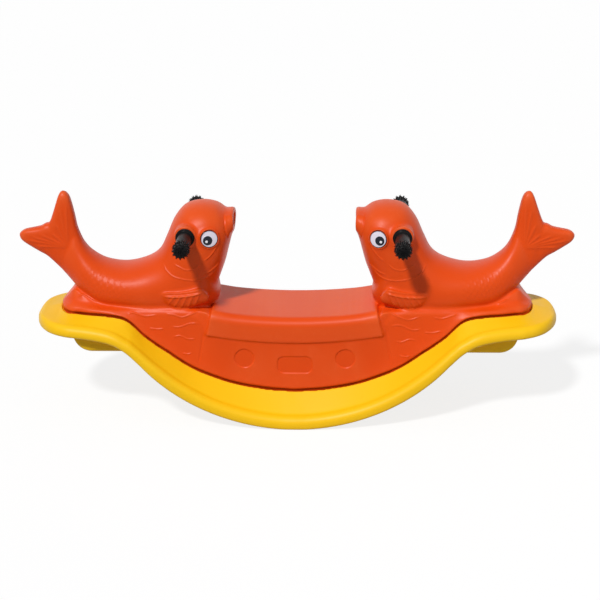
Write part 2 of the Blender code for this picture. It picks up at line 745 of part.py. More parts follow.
def disc(name, diameter, thickness, edge, sides, base_height, frame, place):
    """A flat disc with a rounded outer edge, standing on a height of the eye's frame."""
    radius = diameter / 2
    profile = [(0, thickness), (radius - edge, thickness), (radius, thickness - edge),
               (radius, 0), (0, 0)]
    made = turned(name, profile, sides, place)
    made.matrix_world = frame @ Matrix.Translation((0, 0, base_height))
    return made


def build_eye(side, face, frame, place, tools):
    """An eye: the white disc with a pocket, and the pupil set in it off centre."""
    where = ("left" if side < 0 else "right") + "_" + ("front" if face < 0 else "rear")
    floor = EYE_BOSS_PROUD - EYE_POCKET + SEAT_GAP
    white = disc("eye_" + where, EYE_DIAMETER, EYE_THICKNESS, EYE_EDGE, EYE_SIDES, floor, frame,
                 place)
    out = frame.to_3x3() @ Vector((0, 0, 1))
    shift = Vector((side * PUPIL_SHIFT[0], 0, PUPIL_SHIFT[1]))
    shift -= out * shift.dot(out)
    moved = Matrix.Translation(shift) @ frame
    pocket_floor = floor + EYE_THICKNESS - PUPIL_POCKET
    pocket = cylinder("pupil_pocket", PUPIL_DIAMETER + 2 * HOLE_CLEARANCE, PAST, ROUND_SIDES,
                      UPRIGHT, (0, 0, pocket_floor + PAST / 2), tools)
    pocket.data.transform(moved)
    bpy.context.view_layer.update()
    combine(white, pocket, "DIFFERENCE")
    pupil = disc("pupil_" + where, PUPIL_DIAMETER, PUPIL_THICKNESS, PUPIL_EDGE, ROUND_SIDES,
                 pocket_floor + SEAT_GAP, moved, place)
    return white, pupil


def bolt_solid(name, x, y, tools, place):
    """A hexagon-headed bolt from the ledge in the base up into the threaded insert."""
    seat = bolt_ceiling(x) - SEAT_GAP - WASHER_THICKNESS - SEAT_GAP
    across_corners = BOLT_HEAD_FLATS / math.cos(math.pi / 6)
    bolt = cylinder(name, across_corners, BOLT_HEAD_HEIGHT, 6, UPRIGHT,
                    (x, y, seat - BOLT_HEAD_HEIGHT / 2), place)
    top = insert_floor(x) + INSERT_LENGTH - SEAT_GAP
    low = seat - BOLT_HEAD_HEIGHT / 2
    shank = cylinder("shank", BOLT_DIAMETER, top - low, 12, UPRIGHT, (x, y, (top + low) / 2),
                     tools)
    combine(bolt, shank, "UNION")
    return bolt


def ring_solid(name, outer, inner, low, high, x, y, place):
    """A plain ring, such as a washer, with its hole for the bolt."""
    profile = [(inner / 2, high), (outer / 2, high), (outer / 2, low), (inner / 2, low)]
    made = turned(name, profile, ROUND_SIDES, place)
    made.location = (x, y, 0)
    return made


def build_fasteners(place, tools, steel, brass):
    """Six bolts with washers from below, and the threaded inserts they hold in."""
    bore = BOLT_DIAMETER + 2 * HOLE_CLEARANCE
    for k, (x, y) in enumerate(BOLT_PLACES, start=1):
        bolt = bolt_solid(f"base_bolt_{k}", x, y, tools, place)
        ledge = bolt_ceiling(x) - SEAT_GAP
        washer = ring_solid(f"base_washer_{k}", WASHER_DIAMETER, bore, ledge - WASHER_THICKNESS,
                            ledge, x, y, place)
        floor = insert_floor(x)
        insert = ring_solid(f"threaded_insert_{k}", INSERT_DIAMETER, bore, floor,
                            floor + INSERT_LENGTH, x, y, place)
        for made, finish in ((bolt, steel), (washer, steel), (insert, brass)):
            made.data.materials.append(finish)


def main():
    clear_scene()
    seesaw = new_collection("kids_seesaw")
    tools = new_collection("cutters")
    orange = plastic("orange_plastic", (0.76, 0.085, 0.02), 0.42)
    yellow = plastic("yellow_plastic", (0.93, 0.55, 0.01), 0.40)
    black = plastic("black_rubber", (0.03, 0.03, 0.03), 0.55)
    white = plastic("eye_white", (0.85, 0.82, 0.88), 0.35)
    dark = plastic("pupil_black", (0.01, 0.012, 0.02), 0.25)
    steel = plastic("zinc_steel", (0.6, 0.6, 0.6), 0.35, 1.0)
    brass = plastic("insert_brass", (0.75, 0.55, 0.22), 0.35, 1.0)

    nest_cutter = hull_solid("nest_cutter", hull_section, -NEST_GAP, HULL_STATIONS, tools)
    base = build_base(seesaw, tools, nest_cutter)
    base.data.materials.append(yellow)
    body, eye_frames = build_upper(seesaw, tools)
    body.data.materials.append(orange)
    for side, name in ((-1, "left"), (1, "right")):
        build_handlebar("handlebar_" + name, side, seesaw).data.materials.append(steel)
        for face, end in ((-1, "front"), (1, "rear")):
            grip = build_grip(f"grip_{name}_{end}", side, face, seesaw)
            grip.data.materials.append(black)
            eye, pupil = build_eye(side, face, eye_frames[(side, face)], seesaw, tools)
            eye.data.materials.append(white)
            pupil.data.materials.append(dark)
    build_fasteners(seesaw, tools, steel, brass)

    for thing in tools.objects:
        as_tool(thing)


main()
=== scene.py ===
"""Kids' seesaw with two fish: its finished surfaces and materials.

X runs along the seesaw, Y across it and Z up, in metres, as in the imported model. Left is -X,
and the side towards the camera is -Y.
"""
import math

import bpy
import numpy as np
from mathutils import Matrix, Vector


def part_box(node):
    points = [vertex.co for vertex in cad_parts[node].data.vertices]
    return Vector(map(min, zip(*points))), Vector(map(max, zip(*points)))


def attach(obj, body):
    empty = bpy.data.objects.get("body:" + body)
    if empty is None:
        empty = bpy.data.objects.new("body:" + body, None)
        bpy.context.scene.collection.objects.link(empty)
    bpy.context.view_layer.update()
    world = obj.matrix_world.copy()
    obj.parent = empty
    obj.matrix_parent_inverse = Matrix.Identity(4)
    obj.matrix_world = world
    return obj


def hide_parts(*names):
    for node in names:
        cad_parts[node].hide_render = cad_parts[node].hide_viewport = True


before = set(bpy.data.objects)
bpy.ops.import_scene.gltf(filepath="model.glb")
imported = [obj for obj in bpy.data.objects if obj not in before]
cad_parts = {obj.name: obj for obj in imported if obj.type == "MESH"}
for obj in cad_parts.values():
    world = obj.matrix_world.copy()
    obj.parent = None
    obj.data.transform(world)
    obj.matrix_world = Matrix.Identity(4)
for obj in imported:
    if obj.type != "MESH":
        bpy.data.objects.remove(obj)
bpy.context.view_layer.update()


# Rocker base
# The yellow lower part is one hollow polyethylene moulding: a rocking belly, a level wing at
# each end with a stop block under it, a soft rim all round and a nest that holds the hull.
# Its outside is drawn section by section, cut from below for the bolts, and softened as a whole.
ROCKER_RADIUS = 0.530
FLAT_LAND = 0.025
ARC_END = 0.385
WING_UNDERSIDE = [(0.420, 0.1960), (0.457, 0.2150), (0.510, 0.2240), (0.585, 0.2285),
                  (0.661, 0.2330)]
BASE_HALF_LENGTH = 0.661
BASE_TIP_ROUNDING = 0.100
BASE_HALF_WIDTHS = [(0.0, 0.188), (0.30, 0.183), (0.42, 0.168), (0.584, 0.141)]
RIM_HEIGHTS = [(0.0, 0.034), (0.20, 0.037), (0.33, 0.042), (0.40, 0.038), (0.45, 0.032),
               (0.661, 0.030)]
RIM_TOP_ROUNDING = 0.021
RIM_FOOT_ROUNDING = 0.007
SHELF_END = 0.012
NEST_DEPTH = 0.008
NEST_GAP = 0.0014
STOP_BLOCK = {"bottom": 0.181, "inner": 0.395, "outer": 0.557, "half_width": 0.118,
              "rounding": 0.046, "corner": 0.010, "sunk": 0.012}
HULL_JOINT = [(0.0, 0.078), (0.071, 0.083), (0.142, 0.095), (0.202, 0.114), (0.263, 0.141),
              (0.321, 0.180), (0.352, 0.201), (0.381, 0.224), (0.408, 0.251), (0.435, 0.266),
              (0.480, 0.271), (0.540, 0.271), (0.598, 0.270)]
HULL_HALF_WIDTHS = [(0.0, 0.116), (0.25, 0.113), (0.40, 0.105), (0.50, 0.093), (0.550, 0.079)]
HULL_HALF_LENGTH = 0.598
HULL_TIP_ROUNDING = 0.048
BOLT_RECESS_DIAMETER = 0.038
BOLT_WAY_DIAMETER = 0.011
DRAIN_PLACE = (0.300, 0.090)
DRAIN_DIAMETER = 0.014
DRAIN_DEPTH = 0.030
RECESS_REACH = 0.3
BOLT_WAY = (-0.01, 0.03)
DRAIN_BELOW = 0.05
NEST_WALL_STEP = 0.0004
WING_SECTIONS_END = 0.60
MOST_ROUNDING = 0.45
LEAST = 0.002
BASE_VOXEL = 0.0022
BASE_SMOOTHING = 6
BASE_TRIANGLES = 150_000
RELIEF_SCALE = 0.00035
RELIEF_SPREAD = 4


def through(rows, count):
    """Points on a smooth curve through the given rows: between two rows each value follows
    the cubic whose slope at a row is half the step from the row before to the row after."""
    known = np.array(rows, float)
    padded = np.vstack([2 * known[0] - known[1], known, 2 * known[-1] - known[-2]])
    where = np.linspace(0, len(known) - 1, count)
    span = np.minimum(where.astype(int), len(known) - 2)
    t = (where - span)[:, None]
    a, b, c, d = (padded[span + k] for k in range(4))
    return 0.5 * (2 * b + (c - a) * t + (2 * a - 5 * b + 4 * c - d) * t ** 2
                  + (3 * b - a - 3 * c + d) * t ** 3)


def along(points, x):
    """Value of a smooth curve through a few (place, value) points, at each distance |x|."""
    fine = through(points, 24 * len(points))
    return np.interp(np.abs(x), fine[:, 0], fine[:, 1])


def round_tip(x, half_length, rounding):
    """Share of the full width near a round end: the square root of one minus the square of
    how far x has gone into the rounding."""
    into = np.clip((np.abs(x) - (half_length - rounding)) / rounding, 0, 1)
    return np.sqrt(1 - into ** 2)


def towards_tip(start, rounding, count):
    """Places along a round end, closer and closer: the start plus the rounding times the sine
    of an angle that grows evenly up to 88 degrees."""
    return start + rounding * np.sin(np.radians(np.linspace(0, 88, count)))


def soft_step(value, start, end):
    """0 before start and 1 after end, with the cubic 3t2 - 2t3 between them."""
    t = np.clip((value - start) / (end - start), 0, 1)
    return t * t * (3 - 2 * t)


def rocker_line(x):
    """Height of the underside: a flat land, an arc of a circle, then the wing's curve."""
    x = np.abs(x)
    sink = ROCKER_RADIUS - math.sqrt(ROCKER_RADIUS ** 2 - FLAT_LAND ** 2)
    on_arc = np.clip(x, FLAT_LAND, ARC_END)
    arc = ROCKER_RADIUS - np.sqrt(ROCKER_RADIUS ** 2 - on_arc ** 2) - sink
    end = ROCKER_RADIUS - math.sqrt(ROCKER_RADIUS ** 2 - ARC_END ** 2) - sink
    return np.where(x < ARC_END, arc, along([(ARC_END, end)] + WING_UNDERSIDE, x))


def hull_half_width(x, gap=0.0):
    """Half width of the hull's foot, or of a nest that is wider by a gap all round."""
    share = round_tip(x, HULL_HALF_LENGTH + gap, HULL_TIP_ROUNDING + gap)
    return (along(HULL_HALF_WIDTHS, x) + gap) * share


def corner(centre_y, centre_z, radius, start, end, count):
    """Points of a rounded corner: an arc about its centre from one angle to another."""
    angle = np.radians(np.linspace(start, end, count))
    return [(centre_y + radius * math.cos(a), centre_z + radius * math.sin(a)) for a in angle]


def two_sided(x, half):
    """Rings across the seesaw at each x: the half outline, then the same mirrored at Y = 0."""
    half = np.stack([np.stack(np.broadcast_arrays(y, z), -1) for y, z in half], axis=1)
    along_x = np.broadcast_to(x[:, None, None], half.shape[:2] + (1,))
    right = np.concatenate([along_x, half], axis=2)
    left = right[:, ::-1] * np.array([1.0, -1.0, 1.0])
    return np.concatenate([right, left], axis=1)


def closed_skin(rings):
    """Corners and faces over a stack of rings: quads between neighbours, and at each end a
    fan of triangles to the middle of the last ring. Faces are turned to point outwards."""
    count, sides, _ = rings.shape
    corners = np.vstack([rings.reshape(-1, 3), rings[0].mean(axis=0), rings[-1].mean(axis=0)])
    here = np.arange(count * sides).reshape(count, sides)
    after = np.roll(here, -1, axis=1)
    quads = np.stack([here[:-1], after[:-1], after[1:], here[1:]], axis=-1).reshape(-1, 4)
    first = np.stack([after[0], here[0], np.full(sides, count * sides)], axis=-1)
    last = np.stack([here[-1], after[-1], np.full(sides, count * sides + 1)], axis=-1)
    a, b, c, d = (corners[quads[:, k]] for k in range(4))
    volume = (np.cross(b - a, c - a) * a).sum() + (np.cross(c - a, d - a) * a).sum()
    for fan in (first, last):
        p, q, r = (corners[fan[:, k]] for k in range(3))
        volume += (np.cross(q - p, r - p) * p).sum()
    faces = [quads, first, last]
    return corners, [face[:, ::-1] for face in faces] if volume < 0 else faces


def put_in_mesh(name, skins):
    """One mesh that holds several skins, each a pair of corners and face arrays."""
    corners, faces, shift = [], [], 0
    for points, parts in skins:
        corners.append(points)
        for part in parts:
            faces += (part + shift).tolist()
        shift += len(points)
    mesh = bpy.data.meshes.new(name)
    mesh.from_pydata(np.vstack(corners).tolist(), [], faces)
    return mesh


def object_with(name, data):
    """A new object at the origin that holds a mesh, a lamp or a camera."""
    made = bpy.data.objects.new(name, data)
    bpy.context.scene.collection.objects.link(made)
    return made


def finished_mesh(thing):
    """The mesh of an object after its modifiers, which are then taken off it."""
    bpy.context.view_layer.update()
    seen = thing.evaluated_get(bpy.context.evaluated_depsgraph_get())
    mesh = bpy.data.meshes.new_from_object(seen)
    thing.modifiers.clear()
    return mesh


def turned_rings(profile, centre, axis, sides):
    """Rings about an axis: at each (distance along it, radius) of the profile, the points at
    equal angles on a circle of that radius."""
    axis = np.array(axis, float) / np.linalg.norm(axis)
    helper = np.array([0.0, 0.0, 1.0]) if abs(axis[2]) < 0.9 else np.array([1.0, 0.0, 0.0])
    one = np.cross(helper, axis)
    one /= np.linalg.norm(one)
    two = np.cross(axis, one)
    angle = np.arange(sides) * 2 * math.pi / sides
    circle = np.cos(angle)[:, None] * one + np.sin(angle)[:, None] * two
    profile = np.array(profile)
    return (np.array(centre) + profile[:, 0, None, None] * axis
            + profile[:, 1, None, None] * circle)


def rod(centre, axis, radius, start, end, sides=32):
    """A plain closed rod along an axis, from start to end measured from the centre."""
    return closed_skin(turned_rings([(start, radius), (end, radius)], centre, axis, sides))


def fuse(name, skins, voxel):
    """One unbroken mesh over overlapping closed skins, as even small squares."""
    thing = object_with(name, put_in_mesh(name, skins))
    remesh = thing.modifiers.new("fuse", "REMESH")
    remesh.mode = "VOXEL"
    remesh.voxel_size = voxel
    thing.data = finished_mesh(thing)
    return thing


def read_rows(items, field, width, kind=np.float32):
    """What every item of a mesh holds in one field, as rows of the given width."""
    values = np.empty(len(items) * width, kind)
    items.foreach_get(field, values)
    return values.reshape(-1, width)


def read_points(mesh):
    """Corners of a mesh as an array."""
    return read_rows(mesh.vertices, "co", 3).astype(float)


def write_points(mesh, points):
    """Puts an array of corners back into a mesh."""
    mesh.vertices.foreach_set("co", points.astype(np.float32).ravel())
    mesh.update()


def read_normals(mesh):
    """Direction in which the surface faces at each corner, as an array."""
    return read_rows(mesh.vertex_normals, "vector", 3).astype(float)


def read_edges(mesh):
    """Pairs of corners that an edge joins, as an array."""
    return read_rows(mesh.edges, "vertices", 2, np.int32)


def neighbour_mean(values, edges):
    """Mean over the corners that an edge joins to each corner, of one value or of three."""
    count = len(values)
    share = np.bincount(edges.ravel(), minlength=count)
    columns = values.reshape(count, -1).T
    total = [np.bincount(edges[:, 0], column[edges[:, 1]], count)
             + np.bincount(edges[:, 1], column[edges[:, 0]], count) for column in columns]
    return (np.array(total) / np.maximum(share, 1)).T.reshape(values.shape)


def spread(values, edges, times):
    """Evens values out over the mesh: the neighbours' mean, taken again and again."""
    for _ in range(times):
        values = neighbour_mean(values, edges)
    return values


def bend_of(mesh, points, edges):
    """How far the mean of each corner's neighbours lies out along the surface's direction:
    above 0 in a hollow and below 0 on a ridge."""
    return ((neighbour_mean(points, edges) - points) * read_normals(mesh)).sum(axis=1)


def relax(points, edges, times, strength=0.5):
    """Moves each corner part of the way to its neighbours' mean, again and again. Strength is
    one number, or one for each corner."""
    strength = np.broadcast_to(strength, len(points))[:, None]
    for _ in range(times):
        points = points + strength * (neighbour_mean(points, edges) - points)
    return points


def fewer_triangles(thing, most, kept=()):
    """Thins the mesh to about the given number of triangles, flat places first. The corners
    marked as kept stay as close together as they are."""
    thin = thing.modifiers.new("thin", "DECIMATE")
    if len(kept):
        plain = thing.vertex_groups.new(name="plain")
        plain.add(np.flatnonzero(~kept).tolist(), 1.0, "REPLACE")
        thin.vertex_group = plain.name
    thin.ratio = min(1.0, most / (2 * len(thing.data.polygons)))
    thin.use_collapse_triangulate = True
    thing.data = finished_mesh(thing)
    thing.data.shade_smooth()


def mark_relief(mesh, shaded_places=0.0):
    """Stores how hollow and how raised the surface is round each corner, from 0 to 1: its bend,
    spread out. Places given as shaded, such as a foot in a gap, count as hollow too, so that the
    material paints shade on them."""
    edges = read_edges(mesh)
    bend = spread(bend_of(mesh, read_points(mesh), edges), edges, RELIEF_SPREAD)
    hollow = bend / RELIEF_SCALE + shaded_places
    for name, value in (("hollow", hollow), ("raised", -bend / RELIEF_SCALE)):
        layer = mesh.attributes.new(name, "FLOAT", "POINT")
        layer.data.foreach_set("value", np.clip(value, 0, 1).astype(np.float32))


def base_rings():
    """Sections of the base at many places along X: foot, rim, shelf and nest."""
    nest_end = HULL_HALF_LENGTH + NEST_GAP
    right = np.unique(np.concatenate([
        np.linspace(0, ARC_END, 90), np.linspace(ARC_END, WING_SECTIONS_END, 70),
        towards_tip(HULL_HALF_LENGTH - HULL_TIP_ROUNDING, HULL_TIP_ROUNDING + NEST_GAP, 26),
        [nest_end + NEST_WALL_STEP],
        towards_tip(BASE_HALF_LENGTH - BASE_TIP_ROUNDING, BASE_TIP_ROUNDING, 26)]))
    x = np.concatenate([-right[:0:-1], right])
    low = rocker_line(x)
    end_turn = RIM_TOP_ROUNDING * (1 - round_tip(x, BASE_HALF_LENGTH, RIM_TOP_ROUNDING))
    rim = low + along(RIM_HEIGHTS, x) - end_turn
    joint = along(HULL_JOINT, x)
    fall = 1 - soft_step(np.abs(x), nest_end, BASE_HALF_LENGTH - SHELF_END)
    top = rim + np.maximum(joint - rim, 0) * fall
    edge = np.maximum(along(BASE_HALF_WIDTHS, x)
                      * round_tip(x, BASE_HALF_LENGTH, BASE_TIP_ROUNDING), LEAST * 2)
    foot = np.minimum(RIM_FOOT_ROUNDING, MOST_ROUNDING * edge)
    shoulder = np.minimum(RIM_TOP_ROUNDING, MOST_ROUNDING * edge)
    nested = np.abs(x) < nest_end
    nest = np.where(nested, np.minimum(hull_half_width(x, NEST_GAP), edge - shoulder), 0)
    nest = np.maximum(nest, LEAST / 2)
    floor = np.where(nested, joint - NEST_DEPTH, top)
    half = [(edge * 0.5, low)]
    half += corner(edge - foot, low + foot, foot, -90, 0, 5)
    half += corner(edge - shoulder, rim - shoulder, shoulder, 0, 90, 12)
    half += [(nest + LEAST, top), (nest, top), (nest, floor), (nest * 0.5, floor)]
    return two_sided(x, half)


def stop_block_rings(side):
    """Sections of a stop block: level below, rounded up at its outer end, rising into the
    wing above."""
    size = STOP_BLOCK
    bend = size["outer"] - size["rounding"]
    x = np.concatenate([np.linspace(size["inner"], bend, 20)[:-1],
                        towards_tip(bend, size["rounding"], 16)])
    into = np.clip((x - bend) / size["rounding"], 0, 1)
    low = size["bottom"] + size["rounding"] * (1 - np.sqrt(1 - into ** 2))
    top = np.maximum(rocker_line(x) + size["sunk"], low + LEAST)
    edge, soft = size["half_width"], size["corner"]
    half = [(edge * 0.5, low)]
    half += [(y, low + z) for y, z in corner(edge - soft, soft, soft, -90, 0, 5)]
    half += [(edge, top), (edge * 0.5, top)]
    return two_sided(side * x, half)


base_skins = [closed_skin(base_rings())]
base_skins += [closed_skin(stop_block_rings(side)) for side in (-1, 1)]
base_shell = fuse("rocker_base_shell", base_skins, BASE_VOXEL)
base_points, base_edges = read_points(base_shell.data), read_edges(base_shell.data)
write_points(base_shell.data, relax(base_points, base_edges, BASE_SMOOTHING))

# Recesses and ways for the bolts, and the drain holes
UPWARD = (0, 0, 1)
recesses = []
for number in range(1, 7):
    low, high = (np.array(end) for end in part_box(f"base_washer_{number}"))
    head = ((low[0] + high[0]) / 2, (low[1] + high[1]) / 2, high[2])
    recesses.append(rod(head, UPWARD, BOLT_RECESS_DIAMETER / 2, -RECESS_REACH, 0.0))
    recesses.append(rod(head, UPWARD, BOLT_WAY_DIAMETER / 2, *BOLT_WAY))
for side in (-1, 1):
    drain_x = side * DRAIN_PLACE[0]
    drain = (drain_x, DRAIN_PLACE[1], float(rocker_line(drain_x)))
    recesses.append(rod(drain, UPWARD, DRAIN_DIAMETER / 2, -DRAIN_BELOW, DRAIN_DEPTH))
cutter = object_with("base_cutter", put_in_mesh("base_cutter", recesses))
fewer_triangles(base_shell, BASE_TRIANGLES)
cut = base_shell.modifiers.new("cut", "BOOLEAN")
cut.operation = "DIFFERENCE"
cut.solver = "EXACT"
cut.use_self = True
cut.object = cutter
base_shell.data = finished_mesh(base_shell)
bpy.data.objects.remove(cutter, do_unlink=True)
base_shell.data.shade_smooth()
mark_relief(base_shell.data)


class Wire:
    """A socket in a material. Sums, differences and products of wires and numbers add Math
    nodes, and the node method adds any other node."""

    def __init__(self, tree, socket=None):
        self.tree = tree
        self.socket = socket

    def node(self, kind, settings, inputs, output=0):
        """Adds a node: first its settings, then a value or a wire for each socket."""
        made = self.tree.nodes.new(kind)
        for name, value in settings.items():
            if name == "stops":
                for stop, (place, shade) in zip(made.color_ramp.elements, value):
                    stop.position = place
                    stop.color = (shade, shade, shade, 1)
            else:
                setattr(made, name, value)
        for name, value in inputs.items():
            if isinstance(value, Wire):
                self.tree.links.new(value.socket, made.inputs[name])
            else:
                made.inputs[name].default_value = value
        return Wire(self.tree, made.outputs[output])

    def sum_of(self, operation, first, second):
        """A Math node on two wires or numbers."""
        return self.node("ShaderNodeMath", {"operation": operation}, {0: first, 1: second})

    def __add__(self, other):
        return self.sum_of("ADD", self, other)

    __radd__ = __add__

    def __sub__(self, other):
        return self.sum_of("SUBTRACT", self, other)

    def __rsub__(self, other):
        return self.sum_of("SUBTRACT", other, self)

    def __mul__(self, other):
        return self.sum_of("MULTIPLY", self, other)

    __rmul__ = __mul__


def new_material(name, roughness, metallic=0.0):
    """A material, its Principled shader, and a wire to build on."""
    made = bpy.data.materials.new(name)
    made.use_nodes = True
    shader = made.node_tree.nodes["Principled BSDF"]
    shader.inputs["Roughness"].default_value = roughness
    shader.inputs["Metallic"].default_value = metallic
    return made, shader, Wire(made.node_tree)


def blended(wire, share, plain, other):
    """A colour between two colours or colour wires, by a share from 0 to 1."""
    return wire.node("ShaderNodeMix", {"data_type": "RGBA"}, {0: share, 6: plain, 7: other}, 2)


def noise(wire, place, scale, detail=2.0, roughness=0.5):
    """Cloudy value from 0 to 1, with about so many swells to the metre."""
    return wire.node("ShaderNodeTexNoise", {}, {"Vector": place, "Scale": scale,
                                                "Detail": detail, "Roughness": roughness})


def ramp(wire, value, dark, light):
    """0 up to the dark limit and 1 from the light limit on."""
    return wire.node("ShaderNodeValToRGB", {"stops": [(dark, 0.0), (light, 1.0)]},
                     {"Fac": value})


def object_place(wire):
    """Place on the object, in metres."""
    return wire.node("ShaderNodeTexCoord", {}, {}, "Object")


def stored(wire, name):
    """A value that the mesh holds at its corners."""
    return wire.node("ShaderNodeAttribute", {"attribute_name": name}, {}, "Fac")


def feed(shader, colour, rough, height=None, **bump):
    """Links to a shader what changes over its surface: colour, roughness and fine relief."""
    links = colour.tree.links
    links.new(colour.socket, shader.inputs["Base Color"])
    links.new(rough.socket, shader.inputs["Roughness"])
    if height is not None:
        relief = height.node("ShaderNodeBump", {}, {**bump, "Height": height})
        links.new(relief.socket, shader.inputs["Normal"])


# Each plastic's deep colour serves both its random clouding and the painted shade in its hollows.
YELLOW = {"colour": (0.96, 0.57, 0.004, 1), "deep_tone_and_shade": (0.88, 0.46, 0.003, 1),
          "pale": (0.98, 0.70, 0.08, 1), "roughness": 0.42}
PLASTIC_SHEEN = 0.20
SWELLS = {"cloud": 5.0, "scuffs": 60.0, "grain": 1500.0, "peel": 160.0}
# The hollow and crease shares darken hollows and creases as painted shade.
TONE = {"cloud": 0.55, "hollow": 0.30, "crease_shade": 0.75, "raised": 0.25, "scuffs": 0.20}
CREASE_SHADE_SHARE = 0.22
SEAM_SLOPE = 900.0


def moulded_plastic(name, colour, deep_tone_and_shade, pale, roughness):
    """Moulded polyethylene: broad, faint changes of tone, paler where edges rub, a fine grain
    from the mould, and a faint parting line in the middle plane. Hollows and creases are darkened
    as painted shade, near black in the deepest creases and at places given as shaded."""
    made, shader, wire = new_material(name, roughness)
    shader.inputs["Specular IOR Level"].default_value = PLASTIC_SHEEN
    place = object_place(wire)
    hollow, raised = stored(wire, "hollow"), stored(wire, "raised")
    cloud = noise(wire, place, SWELLS["cloud"], 3.0)
    scuffs = ramp(wire, noise(wire, place, SWELLS["scuffs"], 6.0, 0.7), 0.52, 0.70)
    grain = noise(wire, place, SWELLS["grain"], 1.0)
    peel = noise(wire, place, SWELLS["peel"], 2.0)
    across = wire.node("ShaderNodeSeparateXYZ", {}, {"Vector": place}, "Y")
    away = wire.node("ShaderNodeMath", {"operation": "ABSOLUTE"}, {0: across})
    seam = ramp(wire, 1.0 - away * SEAM_SLOPE, 0.0, 0.9)
    # Painted shade: hollows get a darker tone, and the deepest creases and places given as shaded
    # get a near-black one.
    crevice_shade_mask = ramp(wire, hollow, 0.55, 1.0)
    crease_shade = tuple(CREASE_SHADE_SHARE * part for part in deep_tone_and_shade[:3]) + (1,)
    tone = blended(wire, TONE["cloud"] * cloud, colour, deep_tone_and_shade)
    tone = blended(wire, TONE["hollow"] * hollow, tone, deep_tone_and_shade)
    tone = blended(wire, TONE["crease_shade"] * crevice_shade_mask, tone, crease_shade)
    rubbed = TONE["raised"] * raised + TONE["scuffs"] * raised * scuffs
    tone = blended(wire, rubbed, tone, pale)
    rough = roughness + 0.10 * (cloud - 0.5) + 0.10 * scuffs * raised + 0.05 * (peel - 0.5)
    height = 0.35 * grain + 0.9 * peel + 1.3 * seam
    feed(shader, tone, rough, height, Strength=0.18, Distance=0.0006)
    return made


yellow = moulded_plastic("yellow_polyethylene", **YELLOW)
base_shell.data.materials.clear()
base_shell.data.materials.append(yellow)
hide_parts("rocker_base")
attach(base_shell, "root")


# Upper body
# The orange-red upper is one hollow polyethylene moulding too: a boat-like hull, the bench,
# and two fish that face each other. Its forms are drawn as closed skins that run into each
# other, fused, softened in the valleys, and then given the raised lines of the mould.
ORANGE = {"colour": (0.78, 0.074, 0.003, 1), "deep_tone_and_shade": (0.66, 0.052, 0.003, 1),
          "pale": (0.90, 0.20, 0.06, 1), "roughness": 0.39}
HULL_ROUNDING = 0.006
BANK_RISE = 0.35
FOOT_TUCK = 0.0060
FOOT_ABOVE_JOINT = 0.0026
FOOT_ROUNDING = 0.0050
MOST_LEAN = 0.3
MOST_TUCK = 0.4
SIDE_LEAN = [(0.0, 0.0), (0.19, 0.0), (0.25, 0.010), (0.38, 0.012), (0.44, 0.006), (0.48, 0.0),
             (0.598, 0.0)]
DECK = [(0.0, 0.238), (0.170, 0.244), (0.205, 0.272), (0.245, 0.286), (0.45, 0.287),
        (0.50, 0.294), (0.545, 0.318), (0.562, 0.322), (0.578, 0.304), (0.590, 0.291),
        (0.598, 0.282)]
DECK_HALF_WIDTHS = [(0.0, 0.108), (0.19, 0.108), (0.25, 0.096), (0.35, 0.088), (0.45, 0.079),
                    (0.50, 0.066), (0.55, 0.046), (0.598, 0.012)]
CREST_ABOVE_JOINT = [(0.0, 0.140), (0.20, 0.130), (0.25, 0.140), (0.30, 0.118), (0.38, 0.057),
                     (0.44, 0.014), (0.598, 0.014)]
BENCH_HALF_LENGTH = 0.222
BENCH_TOP = 0.271
BENCH_END_RISE = 0.018
BENCH_HALF_WIDTH = 0.121
BENCH_BOW = 0.003
BENCH_FACE = 0.064
BENCH_ROUNDING = 0.024
BENCH_LOWER_ROUNDING = 0.005
BENCH_END_LEAN = 0.015
BENCH_LEAN_START = 0.15

# Ovals, each given by x and z of its upper edge, x and z of its lower edge, and half its width
FISH = [
    (0.153, 0.522, 0.152, 0.472, 0.047), (0.162, 0.5235, 0.157, 0.463, 0.052),
    (0.174, 0.523, 0.162, 0.447, 0.058), (0.199, 0.538, 0.169, 0.42, 0.075),
    (0.235, 0.543, 0.177, 0.39, 0.088), (0.275, 0.533, 0.187, 0.362, 0.093),
    (0.303, 0.501, 0.196, 0.334, 0.094), (0.323, 0.457, 0.194, 0.3, 0.093),
    (0.344, 0.417, 0.224, 0.265, 0.093), (0.378, 0.393, 0.3, 0.25, 0.092),
    (0.432, 0.379, 0.405, 0.259, 0.088), (0.482, 0.388, 0.495, 0.27, 0.074),
    (0.516, 0.41, 0.545, 0.308, 0.058), (0.535, 0.435, 0.573, 0.339, 0.043),
    (0.55, 0.468, 0.598, 0.368, 0.03),
]
FISH_SQUARENESS = 2.25
UPPER_TAIL_LOBE = [
    (0.52, 0.405, 0.59, 0.36, 0.03), (0.534, 0.432, 0.62, 0.425, 0.026),
    (0.549, 0.471, 0.624, 0.474, 0.023), (0.555, 0.505, 0.614, 0.502, 0.021),
    (0.56, 0.531, 0.604, 0.53, 0.019), (0.5655, 0.553, 0.596, 0.553, 0.016),
    (0.5725, 0.565, 0.59, 0.565, 0.011), (0.579, 0.5698, 0.585, 0.5698, 0.004),
]
LOWER_TAIL_LOBE = [
    (0.56, 0.44, 0.573, 0.343, 0.03), (0.6, 0.48, 0.598, 0.369, 0.024),
    (0.626, 0.486, 0.628, 0.399, 0.022), (0.643, 0.478, 0.647, 0.411, 0.021),
    (0.662, 0.4735, 0.667, 0.4235, 0.019), (0.683, 0.4692, 0.687, 0.437, 0.016),
    (0.693, 0.464, 0.695, 0.445, 0.011), (0.6985, 0.4585, 0.699, 0.452, 0.004),
]
TAIL_SQUARENESS = 3.2
